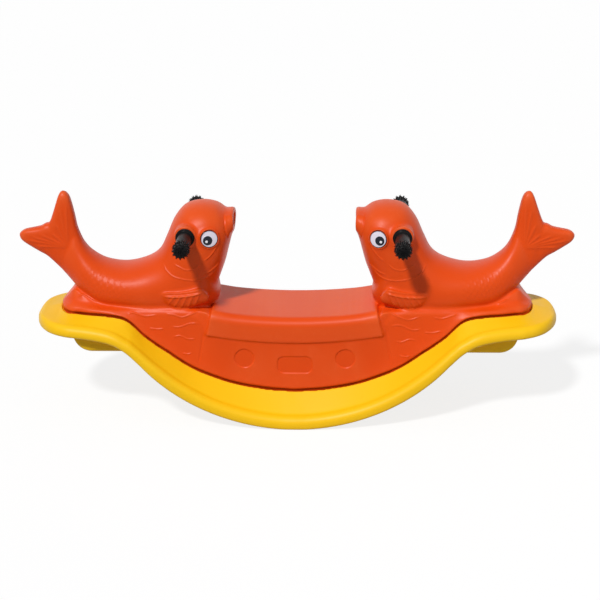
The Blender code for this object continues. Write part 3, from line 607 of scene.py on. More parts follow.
FIN = [
    (0.214, 0.32, 0.22, 0.304, 0.006), (0.232, 0.344, 0.236, 0.299, 0.014),
    (0.252, 0.34, 0.26, 0.2905, 0.018), (0.278, 0.3345, 0.286, 0.286, 0.018),
    (0.303, 0.333, 0.307, 0.289, 0.016), (0.322, 0.333, 0.324, 0.304, 0.012),
    (0.335, 0.3325, 0.335, 0.323, 0.006),
]
FIN_SQUARENESS = 2.6
FIN_CENTRE = 0.0855
FIN_LEAN = 0.24
FIN_LEAN_HEIGHT = 0.322

BAR_BOSS = {"place": (0.2675, 0.4775), "radius": 0.028, "reach": 0.0960}
EYE_RADIUS = 0.021
EYE_RIM = 0.0045
EYE_RIM_RISE = 0.0007
EYE_RIM_MIDDLE = 0.0034
EYE_RIM_WIDTH = 0.0014
EYE_THICKNESS = 0.0045
EYE_POCKET = 0.0025
EYE_BOSS_ROOT = 0.014
POCKET_WALL = (EYE_RADIUS + 0.0004, EYE_RADIUS + 0.0022)
POCKET_BLEND = (EYE_RADIUS + 0.0028, EYE_RADIUS + 0.005)
POCKET_REACH = 0.012
POCKET_KEPT = EYE_RADIUS - 0.001
BODY_VOXEL = 0.0016
BODY_TRIANGLES = 194_000
BODY_SMOOTHING = 9
VALLEY_ROUNDS = 3
VALLEY_BEND = 0.00002
VALLEY_ABOVE_JOINT = 0.012
VALLEY_SPREAD = 9
VALLEY_GAIN = 1.6
VALLEY_SMOOTHING = 34
BENCH_LIP = (0.215, 0.245)
CREST_START = (0.23, 0.26)
CREST_END = (0.56, 0.585)
CREST_FOOT = (0.006, 0.012)
CREST_HEAD = (0.286, 0.300)
CREST_SMOOTHING = 30
SOFTENING = 0.6
KEPT_STEP = 0.00003
FOOT_SHADE_FADE = 0.004

# Raised lines, as (x, z) places on the sides
WAVES = [
    [(-0.416, 0.277), (-0.4035, 0.2785), (-0.3876, 0.2735), (-0.372, 0.271), (-0.3468, 0.274)],
    [(-0.3194, 0.2769), (-0.3019, 0.2754), (-0.2825, 0.270), (-0.2632, 0.276),
     (-0.2419, 0.284)],
    [(-0.3645, 0.2408), (-0.345, 0.2384), (-0.3294, 0.2396)],
    [(-0.3079, 0.2448), (-0.2866, 0.2452), (-0.2634, 0.2539), (-0.2424, 0.2551)],
    [(-0.3031, 0.2196), (-0.2875, 0.2218), (-0.2683, 0.214), (-0.2509, 0.2142)],
    [(-0.2814, 0.1764), (-0.2708, 0.1744), (-0.2601, 0.1767)],
    [(-0.5455, 0.309), (-0.5367, 0.3127), (-0.5247, 0.3094), (-0.5027, 0.2979)],
    [(0.2426, 0.280), (0.262, 0.2721), (0.2854, 0.2654), (0.3126, 0.2724)],
    [(0.3477, 0.2706), (0.3671, 0.2669), (0.3866, 0.2724), (0.4023, 0.2771)],
    [(0.2426, 0.251), (0.266, 0.2507), (0.2932, 0.2394), (0.3147, 0.2405)],
    [(0.3245, 0.2328), (0.344, 0.2316), (0.3654, 0.2361)],
    [(0.2538, 0.2107), (0.2663, 0.2076), (0.2857, 0.2146), (0.3012, 0.2131)],
    [(0.2625, 0.1726), (0.2783, 0.1695), (0.2881, 0.1723)],
    [(0.5068, 0.2955), (0.5168, 0.2981), (0.5325, 0.3046)],
]
GILL_LINES = [
    [(0.1923, 0.3918), (0.2146, 0.3708), (0.2443, 0.365), (0.2683, 0.366), (0.2993, 0.3726),
     (0.318, 0.3851), (0.3264, 0.3985)],
    [(0.2329, 0.4076), (0.2478, 0.3959), (0.2681, 0.3918), (0.2873, 0.3993),
     (0.2986, 0.4038)],
    [(0.189, 0.4545), (0.2057, 0.4296), (0.2223, 0.4155)],
    [(0.1866, 0.4025), (0.208, 0.3858), (0.2259, 0.3795)],
]
FIN_RIBS = [
    [(0.236, 0.332), (0.250, 0.298)],
    [(0.251, 0.331), (0.268, 0.292)],
    [(0.266, 0.329), (0.286, 0.289)],
    [(0.281, 0.328), (0.303, 0.291)],
    [(0.297, 0.327), (0.318, 0.299)],
]
FIN_TOP = [
    [(0.2330, 0.3425), (0.2520, 0.3380), (0.2780, 0.3330), (0.3030, 0.3315), (0.3280, 0.3315)],
    [(0.2310, 0.3345), (0.2500, 0.3295), (0.2780, 0.3245), (0.3040, 0.3230), (0.3240, 0.3230)],
]
TAIL_FAN_ROOT = (0.574, 0.430)
TAIL_FAN_ENDS = [(0.573, 0.536), (0.588, 0.524), (0.600, 0.488), (0.612, 0.4640),
                 (0.640, 0.4590), (0.662, 0.4530), (0.678, 0.4450), (0.652, 0.4290)]
WAVE_HEIGHT = 0.0018
WAVE_WIDTH = 0.0015
GILL_HEIGHT = 0.0017
FIN_RIB_HEIGHT = 0.0015
FIN_RIB_WIDTH = 0.0026
FIN_TOP_HEIGHT = 0.0032
FIN_TOP_WIDTH = 0.0026
TAIL_RIB_HEIGHT = 0.0013
TAIL_RIB_WIDTH = 0.0032
LIP_CREASE = [(0.4400, 0.1610), (0.4634, 0.1650), (0.4866, 0.1705), (0.5110, 0.1735),
              (0.5400, 0.1760)]
LIP_RISE = 0.0020
LIP_STEP = 0.0012
LIP_GROOVE = 0.0010
LIP_GROOVE_WIDTH = 0.0018
LIP_FADE = (0.440, 0.475)
LIP_TOP = 0.56
MOUTH_DEPTH = 0.010
MOUTH_SHARE = 0.70
MOUTH_BLUR = (-0.14, 0.04)
MOUTH_FRONT = 0.006
ROUND_MARK = {"place": (0.127, 0.165), "radius": 0.026}
LONG_MARK = {"height": 0.148, "half_length": 0.045, "half_height": 0.0235, "corner": 0.017}
MARK_DEPTH = 0.0026
MARK_EDGE = 0.0022
PANEL_LINE = [(0.2284, 0.236), (0.2350, 0.195), (0.2424, 0.153)]
PANEL_DEPTH = 0.0012
PANEL_WIDTH = 0.0026
HULL_SIDE = 0.09
SCALE_SIZE = 0.017
SCALE_RISE = 0.0008
SCALE_TURN = math.radians(12)
SCALE_ARC = {"start": 0.25, "round": 0.30, "stretch": 0.9, "width": 0.09}
SCALE_PATCH = {"place": (0.475, 0.345), "slope": 0.2, "reach": (0.055, 0.028)}
SIDE_FACING = (0.25, 0.55)
BANK_FACING = (0.08, 0.30)
FIN_OUTSIDE = (0.090, 0.096)


def oval_rings(rows, squareness, side, count, sides, centre=0.0):
    """Ovals between two edge lines: at each row the cosine of the angle runs from one edge to
    the other and the sine runs across, both with a power that squares the oval up."""
    rows = through(rows, count)
    angle = np.arange(sides) * 2 * math.pi / sides
    power = 2 / squareness
    run = np.sign(np.cos(angle)) * np.abs(np.cos(angle)) ** power
    across = np.sign(np.sin(angle)) * np.abs(np.sin(angle)) ** power
    middle = (rows[:, None, 0:2] + rows[:, None, 2:4]) / 2
    reach = (rows[:, None, 0:2] - rows[:, None, 2:4]) / 2
    flat = middle + run[None, :, None] * reach
    return np.stack([side * flat[..., 0], centre + rows[:, 4, None] * across,
                     flat[..., 1]], axis=-1)


def hull_rings():
    """Sections of the hull: a foot tucked into the nest, a rounded lower edge that stands
    clear of the yellow shelf, a side that leans in up to the crest, a bank and the deck."""
    tip_start = HULL_HALF_LENGTH - HULL_TIP_ROUNDING
    right = np.concatenate([np.linspace(0, tip_start, 150)[:-1],
                            towards_tip(tip_start, HULL_TIP_ROUNDING, 24)])
    x = np.concatenate([-right[:0:-1], right])
    joint = along(HULL_JOINT, x)
    low = joint - NEST_DEPTH
    edge = np.maximum(hull_half_width(x), LEAST)
    deck = along(DECK, x)
    crest = np.minimum(joint + along(CREST_ABOVE_JOINT, x), deck - HULL_ROUNDING)
    crest = np.maximum(crest, joint + FOOT_ABOVE_JOINT + FOOT_ROUNDING + LEAST)
    upper = edge - np.minimum(along(SIDE_LEAN, x), MOST_LEAN * edge)
    deck_edge = np.maximum(np.minimum(along(DECK_HALF_WIDTHS, x), upper - LEAST), LEAST / 2)
    soft = np.minimum(HULL_ROUNDING, MOST_LEAN * edge)
    tuck = edge - np.minimum(FOOT_TUCK, MOST_TUCK * edge)
    half = [(edge * 0.5, low), (tuck, low), (tuck, joint + FOOT_ABOVE_JOINT)]
    half += [(tuck + (edge - tuck) * math.sin(angle), joint + FOOT_ABOVE_JOINT
              + FOOT_ROUNDING * (1 - math.cos(angle))) for angle in np.radians([30, 60, 90])]
    half += [(upper, crest - soft / 2), (upper - soft / 2, crest + soft / 2),
             (deck_edge + (upper - deck_edge) * BANK_RISE, crest + (deck - crest) * BANK_RISE
              + soft / 3), (deck_edge, deck)]
    return two_sided(x, half)


def bench_rings():
    """Sections of the bench: a block that rises to its ends, with a soft upper edge and ends
    that lean in towards the top."""
    x = np.linspace(-BENCH_HALF_LENGTH, BENCH_HALF_LENGTH, 60)
    top = BENCH_TOP + BENCH_END_RISE * (x / BENCH_HALF_LENGTH) ** 2
    edge = BENCH_HALF_WIDTH - BENCH_BOW * (x / BENCH_HALF_LENGTH) ** 2
    low = top - BENCH_FACE
    soft, lip = BENCH_ROUNDING, BENCH_LOWER_ROUNDING
    half = [(edge * 0.5, low)]
    half += [(edge + y, low + z) for y, z in corner(-lip, lip, lip, -90, 0, 4)]
    half += [(edge + y, top + z) for y, z in corner(-soft, -soft, soft, 0, 90, 10)]
    rings = two_sided(x, half)
    lean = np.sign(x) * BENCH_END_LEAN * soft_step(np.abs(x), BENCH_LEAN_START, BENCH_HALF_LENGTH)
    rings[..., 0] -= lean[:, None] * (rings[..., 2] - low[:, None]) / BENCH_FACE
    return rings


def eye_seat(name):
    """Middle of a CAD eye disc and the way it faces, which is the direction in which its
    corners spread least."""
    corners = read_points(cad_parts[name].data)
    low, high = corners.min(axis=0), corners.max(axis=0)
    middle = (low + high) / 2
    normal = np.linalg.svd(corners - corners.mean(axis=0), full_matrices=False)[2][2]
    return middle, normal * np.sign(normal[1]) * np.sign(middle[1])


def ridge(x, z, lines, width):
    """Height from 0 to 1 of soft ridges along lines: the bell curve of the distance to the
    nearest line, fading out towards each line's ends."""
    most = np.zeros(len(x))
    for line in lines:
        fine = through(line, 8 * (len(line) - 1) + 1) if len(line) > 2 else np.array(line)
        low, high = fine.min(axis=0) - 4 * width, fine.max(axis=0) + 4 * width
        near = np.flatnonzero((x > low[0]) & (x < high[0]) & (z > low[1]) & (z < high[1]))
        if not len(near):
            continue
        start, step = fine[:-1], np.diff(fine, axis=0)
        spot = np.stack([x[near], z[near]], axis=1)[:, None]
        length = (step ** 2).sum(axis=1)
        t = np.clip(((spot - start) * step).sum(axis=2) / length, 0, 1)
        gap = np.linalg.norm(spot - start - t[..., None] * step, axis=2)
        nearest = gap.argmin(axis=1)
        rows = np.arange(len(near))
        run = (nearest + t[rows, nearest]) / len(step)
        fade = np.clip(6 * np.minimum(run, 1 - run) + 0.25, 0, 1)
        bell = fade * np.exp(-(gap[rows, nearest] / width) ** 2)
        most[near] = np.maximum(most[near], bell)
    return most


def scale_pattern(x, z):
    """Overlapping fish scales: rows of arcs, each row shifted by half a scale, raised on the
    side of each arc that points to the tail."""
    cos, sin = math.cos(SCALE_TURN), math.sin(SCALE_TURN)
    u = (x * cos + z * sin) / SCALE_SIZE
    v = (z * cos - x * sin) / SCALE_SIZE * 2
    row = np.floor(v)
    u = u + 0.5 * (row % 2)
    across = (v - row - 0.5) * 0.5
    forward = u - np.floor(u)
    arc = np.sqrt(np.maximum(SCALE_ARC["round"] - across ** 2, 0)) * SCALE_ARC["stretch"]
    return np.exp(-((forward - (SCALE_ARC["start"] + arc)) / SCALE_ARC["width"]) ** 2)


body_skins = [closed_skin(hull_rings()), closed_skin(bench_rings())]
for side in (-1, 1):
    body_skins += [closed_skin(oval_rings(FISH, FISH_SQUARENESS, side, 150, 96)),
                   closed_skin(oval_rings(UPPER_TAIL_LOBE, TAIL_SQUARENESS, side, 60, 48)),
                   closed_skin(oval_rings(LOWER_TAIL_LOBE, TAIL_SQUARENESS, side, 60, 48))]
    for face in (-1, 1):
        fin = oval_rings(FIN, FIN_SQUARENESS, side, 50, 40, face * FIN_CENTRE)
        fin[..., 1] += face * FIN_LEAN * (fin[..., 2] - FIN_LEAN_HEIGHT)
        body_skins.append(closed_skin(fin))
    boss = (side * BAR_BOSS["place"][0], 0, BAR_BOSS["place"][1])
    body_skins.append(rod(boss, (0, 1, 0), BAR_BOSS["radius"], -BAR_BOSS["reach"],
                          BAR_BOSS["reach"], 48))

CORNERS = ["left_front", "left_rear", "right_front", "right_rear"]
eye_seats = {name: eye_seat("eye_" + name) for name in CORNERS}
for middle, normal in eye_seats.values():
    face = middle + normal * (EYE_POCKET - EYE_THICKNESS / 2)
    body_skins.append(rod(face, normal, EYE_RADIUS + EYE_RIM, -EYE_BOSS_ROOT, 0, 64))

body_shell = fuse("upper_body_shell", body_skins, BODY_VOXEL)
mesh = body_shell.data
points, edges = read_points(mesh), read_edges(mesh)
points = relax(points, edges, BODY_SMOOTHING)

# Soft valleys where the fish, their tails and the fins grow out of the hull
for _ in range(VALLEY_ROUNDS):
    write_points(mesh, points)
    valley = (bend_of(mesh, points, edges) > VALLEY_BEND).astype(float)
    out, z = np.abs(points[:, 0]), points[:, 2]
    in_bench_lip = (out < BENCH_LIP[0]) & (z < BENCH_LIP[1])
    valley[in_bench_lip | (z < along(HULL_JOINT, out) + VALLEY_ABOVE_JOINT)] = 0
    valley = np.clip(spread(valley, edges, VALLEY_SPREAD) * VALLEY_GAIN, 0, 1)
    points = relax(points, edges, VALLEY_SMOOTHING, SOFTENING * valley)

# Soft crest along the hull's side
out, z = np.abs(points[:, 0]), points[:, 2]
crest = soft_step(out, *CREST_START) * (1 - soft_step(out, *CREST_END))
crest *= soft_step(z - along(HULL_JOINT, out), *CREST_FOOT) * (1 - soft_step(z, *CREST_HEAD))
points = relax(points, edges, CREST_SMOOTHING, SOFTENING * crest)
write_points(mesh, points)

# Raised lines: waves, gills, fins and tails, the crease of the lips, and scales on the back
normals = read_normals(mesh)
x, y, z = points.T
out = np.abs(x)
on_side = soft_step(np.abs(normals[:, 1]), *SIDE_FACING)
on_bank = soft_step(np.abs(normals[:, 1]), *BANK_FACING)
on_fin = soft_step(np.abs(y), *FIN_OUTSIDE)
rise = WAVE_HEIGHT * ridge(x, z, WAVES, WAVE_WIDTH) * on_bank
rise += GILL_HEIGHT * ridge(out, z, GILL_LINES, WAVE_WIDTH) * on_side
rise += FIN_RIB_HEIGHT * ridge(out, z, FIN_RIBS, FIN_RIB_WIDTH) * on_fin
rise += FIN_TOP_HEIGHT * ridge(out, z, FIN_TOP, FIN_TOP_WIDTH) * on_fin
fan = [[TAIL_FAN_ROOT, end] for end in TAIL_FAN_ENDS]
rise += TAIL_RIB_HEIGHT * ridge(out, z, fan, TAIL_RIB_WIDTH) * on_side
lip = np.interp(z, *np.array(LIP_CREASE).T) - out
at_mouth = soft_step(z, *LIP_FADE) * (z < LIP_TOP) * on_side
rise += LIP_RISE * soft_step(lip, -LIP_STEP, LIP_STEP) * at_mouth
rise -= LIP_GROOVE * np.exp(-(lip / LIP_GROOVE_WIDTH) ** 2) * at_mouth
(patch_x, patch_z), (patch_run, patch_drop) = SCALE_PATCH["place"], SCALE_PATCH["reach"]
off_x = out - patch_x
off_z = z - patch_z - SCALE_PATCH["slope"] * off_x
patch = np.exp(-(off_x / patch_run) ** 2 - (off_z / patch_drop) ** 2)
rise += SCALE_RISE * patch * scale_pattern(out, z) * on_side

# Sunk marks on the hull's side under the bench: two round, one long, and the panel lines
mark_x, mark_z = ROUND_MARK["place"]
round_edge = np.hypot(out - mark_x, z - mark_z) - ROUND_MARK["radius"]
turn = LONG_MARK["corner"]
long_x = out - (LONG_MARK["half_length"] - turn)
long_z = np.abs(z - LONG_MARK["height"]) - (LONG_MARK["half_height"] - turn)
long_edge = (np.hypot(np.maximum(long_x, 0), np.maximum(long_z, 0))
             + np.minimum(np.maximum(long_x, long_z), 0) - turn)
inside = 1 - soft_step(np.minimum(round_edge, long_edge), -MARK_EDGE, 0)
on_hull = np.abs(y) > HULL_SIDE
rise -= MARK_DEPTH * inside * on_side * on_hull
rise -= PANEL_DEPTH * ridge(out, z, [PANEL_LINE], PANEL_WIDTH) * on_side * on_hull
points = points + normals * rise[:, None]
step = np.abs(rise - neighbour_mean(rise, edges))
fine_parts = neighbour_mean((step > KEPT_STEP).astype(float), edges) > 0

# Shallow hollow of each mouth, an oval in the flat end of the head
lip_x, lip_top, _, lip_bottom, lip_width = FISH[0]
mouth_z, mouth_half = (lip_top + lip_bottom) / 2, (lip_top - lip_bottom) / 2
from_middle = np.hypot(points[:, 1] / lip_width, (points[:, 2] - mouth_z) / mouth_half)
mouth = 1 - soft_step(from_middle, MOUTH_SHARE + MOUTH_BLUR[0], MOUTH_SHARE + MOUTH_BLUR[1])
mouth *= np.abs(points[:, 0]) < lip_x + MOUTH_FRONT
points[:, 0] += np.sign(points[:, 0]) * MOUTH_DEPTH * mouth

# Pocket and rim of each eye
for middle, normal in eye_seats.values():
    reach = points - middle
    proud = reach @ normal
    across = np.linalg.norm(reach - proud[:, None] * normal, axis=1)
    seat = (across < POCKET_BLEND[1]) & (np.abs(proud) < POCKET_REACH)
    fine_parts |= seat & (across > POCKET_KEPT)
    across = across[seat]
    level = EYE_POCKET - EYE_THICKNESS / 2 - EYE_POCKET * (1 - soft_step(across, *POCKET_WALL))
    rim = (across - EYE_RADIUS - EYE_RIM_MIDDLE) / EYE_RIM_WIDTH
    level += EYE_RIM_RISE * np.exp(-rim ** 2)
    share = 1 - soft_step(across, *POCKET_BLEND)
    points[seat] += (share * (level - proud[seat]))[:, None] * normal
write_points(mesh, points)
fewer_triangles(body_shell, BODY_TRIANGLES, fine_parts)
thinned = read_points(body_shell.data)
above = thinned[:, 2] - along(HULL_JOINT, thinned[:, 0])
# Painted shade: the hull's foot, low in the gap above the yellow shelf, counts as hollow so that
# it is darkened.
mark_relief(body_shell.data,
            1 - soft_step(above, FOOT_ABOVE_JOINT, FOOT_ABOVE_JOINT + FOOT_SHADE_FADE))

orange = moulded_plastic("orange_polyethylene", **ORANGE)
body_shell.data.materials.clear()
body_shell.data.materials.append(orange)
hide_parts("upper_body")
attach(body_shell, "root")


# Handlebars
# A zinc-plated steel tube runs across each head and carries a grip at either end. The tubes
# keep their CAD form, because only their cut ends could ever be seen.
ZINC = (0.62, 0.63, 0.64)
BRUSHING = (40, 400, 400)
DULL_SHADE = 0.72


def plated_metal(name, colour, roughness):
    """Thin bright plating: a fine cloudy spangle in colour and roughness, brushed along X."""
    made, shader, wire = new_material(name, roughness, 1.0)
    place = object_place(wire)
    drawn = wire.node("ShaderNodeMapping", {}, {"Vector": place, "Scale": BRUSHING})
    spangle = noise(wire, place, 260.0, 3.0)
    lines = noise(wire, drawn, 2.0, 2.0)
    dull = tuple(part * DULL_SHADE for part in colour)
    tone = blended(wire, 0.6 * spangle, (*colour, 1), (*dull, 1))
    rough = roughness + 0.20 * (spangle - 0.5) + 0.10 * (lines - 0.5)
    feed(shader, tone, rough, lines, Strength=0.15, Distance=0.0003)
    return made


def dress_node(name, material):
    """Gives a CAD node that stays in view its finished material."""
    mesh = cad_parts[name].data
    mesh.materials.clear()
    mesh.materials.append(material)


zinc = plated_metal("zinc_plating", ZINC, 0.34)
for side_name in ("left", "right"):
    dress_node("handlebar_" + side_name, zinc)


# Hand grips
# Soft black rubber mouldings pushed over the ends of the bars. Each has a flange against the
# head, a plain barrel, and a thick end that bristles with rows of short pointed nubs.
GRIP_START = 0.0965
GRIP_END = 0.2150
FLANGE_RADIUS = 0.0238
FLANGE_THICKNESS = 0.007
FLANGE_EDGE = 0.0032
FLANGE_FILLET = 0.0050
BARREL_RADIUS = 0.0174
BARREL_SWELL = 0.0008
KNOB_RADIUS = 0.0178
KNOB_LENGTH = 0.036
KNOB_ROUNDING = 0.010
CAP_SET_BACK = 0.0030
GRIP_LENGTH = GRIP_END - GRIP_START - CAP_SET_BACK
GRIP_BORE = 0.0135
GRIP_BACK = 0.018
BARREL_MARGINS = (0.0065, 0.001)
FACE_SHARES = (0.6, 0.25)
NUBS_AROUND = 13
NUB_PITCH = 0.0068
NUB_LENGTH = 0.0052
NUB_ROOT = 0.0027
NUB_TIP = 0.0005
NUB_SUNK = 0.0012
NUB_SIDES = 7
NUB_LEVELS = (0.45, 0.9)
NUB_SHARES = (0.8, 0.42, 0.4)
GRIP_SIDES = 96
RUBBER_SHEEN = 0.05
RUBBER_BLACK = (0.006, 0.006, 0.007, 1)
RUBBER_DUST = (0.024, 0.022, 0.020, 1)


def grip_profile():
    """Distance from the head and radius: flange with a rounded edge, hollow fillet, barrel
    that swells a little in the middle, a step up to the thick end, and a domed cap."""
    knob, dome = GRIP_LENGTH - KNOB_LENGTH, GRIP_LENGTH - KNOB_ROUNDING
    lip, cap = FLANGE_RADIUS - FLANGE_EDGE, KNOB_RADIUS - KNOB_ROUNDING
    hollow = FLANGE_THICKNESS + FLANGE_FILLET
    points = [(0.0, GRIP_BORE), (0.0, GRIP_BACK)]
    points += corner(FLANGE_EDGE, lip, FLANGE_EDGE, 180, 90, 6)
    points += corner(FLANGE_THICKNESS - FLANGE_EDGE, lip, FLANGE_EDGE, 90, 0, 6)[1:]
    points += corner(hollow, BARREL_RADIUS + FLANGE_FILLET, FLANGE_FILLET, 180, 270, 6)
    barrel = np.linspace(FLANGE_THICKNESS + BARREL_MARGINS[0], knob - BARREL_MARGINS[1], 14)
    swell = BARREL_SWELL * np.sin(np.pi * (barrel - barrel[0]) / np.ptp(barrel))
    points += list(zip(barrel, BARREL_RADIUS + swell))
    points += [(place, KNOB_RADIUS) for place in np.linspace(knob, dome, 12)[:-1]]
    points += corner(dome, cap, KNOB_ROUNDING, 90, 0, 10)
    points += [(GRIP_LENGTH, cap * share) for share in FACE_SHARES]
    return np.array(points)


def nub_places():
    """Places and directions of the nubs on the thick end, as distance along the bar, radius
    and angle: rows a pitch apart over the end's outline, each row turned by half a step, with
    fewer nubs in a row the closer it is to the middle of the end face."""
    profile = grip_profile()
    profile = profile[profile[:, 0] >= GRIP_LENGTH - KNOB_LENGTH - 1e-6]
    run = np.concatenate([[0], np.cumsum(np.linalg.norm(np.diff(profile, axis=0), axis=1))])
    outward = np.abs(np.gradient(profile, run, axis=0))[:, ::-1]
    outward /= np.linalg.norm(outward, axis=1, keepdims=True)
    rows = []
    for number, place in enumerate(np.arange(NUB_PITCH / 2, run[-1], NUB_PITCH)):
        spot = [np.interp(place, run, profile[:, k]) for k in range(2)]
        aim = [np.interp(place, run, outward[:, k]) for k in range(2)]
        count = max(5, round(NUBS_AROUND * spot[1] / KNOB_RADIUS))
        angle = (np.arange(count) + 0.5 * (number % 2)) * 2 * math.pi / count
        rows += [(*spot, turn, *aim) for turn in angle]
    return np.array(rows + [(GRIP_LENGTH, 0.0, 0.0, 1.0, 0.0)])


def grip_foot(side, face):
    """Where a grip meets its head, in the bar's middle, and the way it points."""
    bar_x, bar_z = BAR_BOSS["place"]
    return np.array([side * bar_x, face * GRIP_START, bar_z]), np.array([0.0, face, 0.0])


def nub_skin(side, face):
    """All nubs of one grip: short cones with a hollow flank and a blunt tip, worked out
    together. Each stands square to the surface, on the circle of its row."""
    start, bar = grip_foot(side, face)
    far, radius, angle, aim_far, aim_out = nub_places().T
    spoke = np.stack([np.cos(angle), np.zeros(len(angle)), np.sin(angle)], axis=1)
    foot = start + far[:, None] * bar + radius[:, None] * spoke
    aim = aim_far[:, None] * bar + aim_out[:, None] * spoke
    across = np.cross(aim, np.stack([-np.sin(angle), np.zeros(len(angle)), np.cos(angle)], 1))
    across /= np.linalg.norm(across, axis=1, keepdims=True)
    other = np.cross(aim, across)
    heights = np.array([-NUB_SUNK, 0.0, NUB_LEVELS[0] * NUB_LENGTH, NUB_LEVELS[1] * NUB_LENGTH,
                        NUB_LENGTH])
    widths = np.array([NUB_ROOT, NUB_SHARES[0] * NUB_ROOT, NUB_SHARES[1] * NUB_ROOT, NUB_TIP,
                       NUB_SHARES[2] * NUB_TIP])
    turn = np.arange(NUB_SIDES) * 2 * math.pi / NUB_SIDES
    ring = (np.cos(turn)[:, None, None] * across + np.sin(turn)[:, None, None] * other)
    points = (foot + heights[:, None, None, None] * aim + widths[:, None, None, None] * ring)
    points = points.transpose(2, 0, 1, 3)
    count, levels = len(foot), len(heights)
    step = np.arange(count)[:, None] * levels * NUB_SIDES
    here = np.arange((levels - 1) * NUB_SIDES)
    after = here + 1 - NUB_SIDES * (here % NUB_SIDES == NUB_SIDES - 1)
    quads = np.stack([here, after, after + NUB_SIDES, here + NUB_SIDES], axis=1)
    ends = np.stack([np.arange(NUB_SIDES)[::-1], np.arange(NUB_SIDES) + (levels - 1) * NUB_SIDES])
    corners = points.reshape(-1, 3)
    a, b, d = (corners[quads[0, k]] for k in (0, 1, 3))
    inward = np.cross(b - a, d - a) @ (a - foot[0]) < 0
    faces = [(step[..., None] + quads).reshape(-1, 4), (step[..., None] + ends).reshape(
        -1, NUB_SIDES)]
    return corners, [part[:, ::-1] for part in faces] if inward else faces


def black_rubber():
    """Soft moulded rubber: near black, a little dusty, with a soft broken sheen and a fine
    pebble grain."""
    made, shader, wire = new_material("black_rubber", 0.4)
    shader.inputs["Specular IOR Level"].default_value = RUBBER_SHEEN
    place = object_place(wire)
    dust = ramp(wire, noise(wire, place, 90.0, 4.0, 0.6), 0.42, 0.72)
    tone = blended(wire, 0.4 * dust, RUBBER_BLACK, RUBBER_DUST)
    pebbles = noise(wire, place, 1400.0, 2.0)
    feed(shader, tone, 0.28 + 0.12 * dust, pebbles, Strength=0.20, Distance=0.0004)
    return made


rubber = black_rubber()
for corner_name in CORNERS:
    side = -1 if "left" in corner_name else 1
    face = -1 if "front" in corner_name else 1
    turned = turned_rings(grip_profile(), *grip_foot(side, face), GRIP_SIDES)
    skins = [closed_skin(turned), nub_skin(side, face)]
    name = f"grip_{corner_name}"
    grip = object_with(name + "_rubber", put_in_mesh(name + "_rubber", skins))
    grip.data.shade_smooth()
    grip.data.materials.append(rubber)
    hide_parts(name)
    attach(grip, "root")


# Eyes
# Glossy white plastic discs pressed into shallow pockets, each with a near-black pupil let in
# off centre, towards the tail and down, and a pale glint printed on the pupil.
PUPIL_RADIUS = 0.01175
PUPIL_SHIFT = (0.0045, -0.0035)
DOME_RISE = 0.0016
DISC_EDGE = 0.0010
PUPIL_PROUD = 0.0005
GLINT_RADIUS = 0.0035
GLINT_SHIFT = (0.0030, -0.0022)
PUPIL_SHEEN = 0.20
EYE_WHITE = (0.78, 0.74, 0.84, 1)
EYE_GREY = (0.56, 0.50, 0.64, 1)
EYE_GAP_SHADE = (0.045, 0.020, 0.030, 1)
PUPIL_DARK = (0.006, 0.008, 0.016, 1)
PUPIL_BLUE = (0.016, 0.020, 0.034, 1)
GLINT_PALE = (0.88, 0.88, 0.92, 1)
BACK_SHARES = [0.02, 0.5, 0.97]
MIDDLE_SHARE = 0.03
EDGE_RINGS = 7
EYE_SIDES = 96
DOME_RINGS = 22


def disc_frame(middle, normal):
    """Directions on a disc: towards the tail, and up along the disc."""
    up = np.array([0.0, 0.0, 1.0]) - normal[2] * normal
    up /= np.linalg.norm(up)
    tailward = np.cross(up, normal)
    return tailward * np.sign(tailward[0] * middle[0]), up


def domed_disc(name, middle, normal, radius, shift, low, rise, edge):
    """A closed disc on the eye's dome: round rings whose height follows the dome's parabola,
    a rounded edge, and a flat back. Its UV map gives the place on the disc in metres."""
    tailward, up = disc_frame(middle, normal)
    turn = np.radians(np.linspace(90, 0, EDGE_RINGS))
    across = np.concatenate([BACK_SHARES, 1 - edge / radius * (1 - np.sin(turn)),
                             np.linspace(1 - edge / radius, MIDDLE_SHARE, DOME_RINGS)[1:]])
    angle = np.arange(EYE_SIDES) * 2 * math.pi / EYE_SIDES
    u = shift[0] + radius * across[:, None] * np.cos(angle)
    v = shift[1] + radius * across[:, None] * np.sin(angle)
    height = EYE_THICKNESS / 2 + rise + DOME_RISE * (1 - (u ** 2 + v ** 2) / EYE_RADIUS ** 2)
    back = len(BACK_SHARES)
    height[:back] = low
    drop = (edge - edge * (1 - np.cos(turn))[::-1]) * np.linspace(1, 0, EDGE_RINGS)
    height[back:back + EDGE_RINGS] -= drop[:, None]
    rings = (middle + u[..., None] * tailward + v[..., None] * up
             + height[..., None] * normal)
    mesh = put_in_mesh(name, [closed_skin(rings)])
    corners = read_points(mesh) - middle
    loops = read_rows(mesh.loops, "vertex_index", 1, np.int32)[:, 0]
    flat = np.stack([corners @ tailward, corners @ up], axis=1)[loops]
    layer = mesh.uv_layers.new(name="disc")
    layer.data.foreach_set("uv", flat.astype(np.float32).ravel())
    mesh.shade_smooth()
    return object_with(name, mesh)


def disc_place(wire):
    """Place on an eye's disc, in metres from its middle."""
    return wire.node("ShaderNodeUVMap", {"uv_map": "disc"}, {})


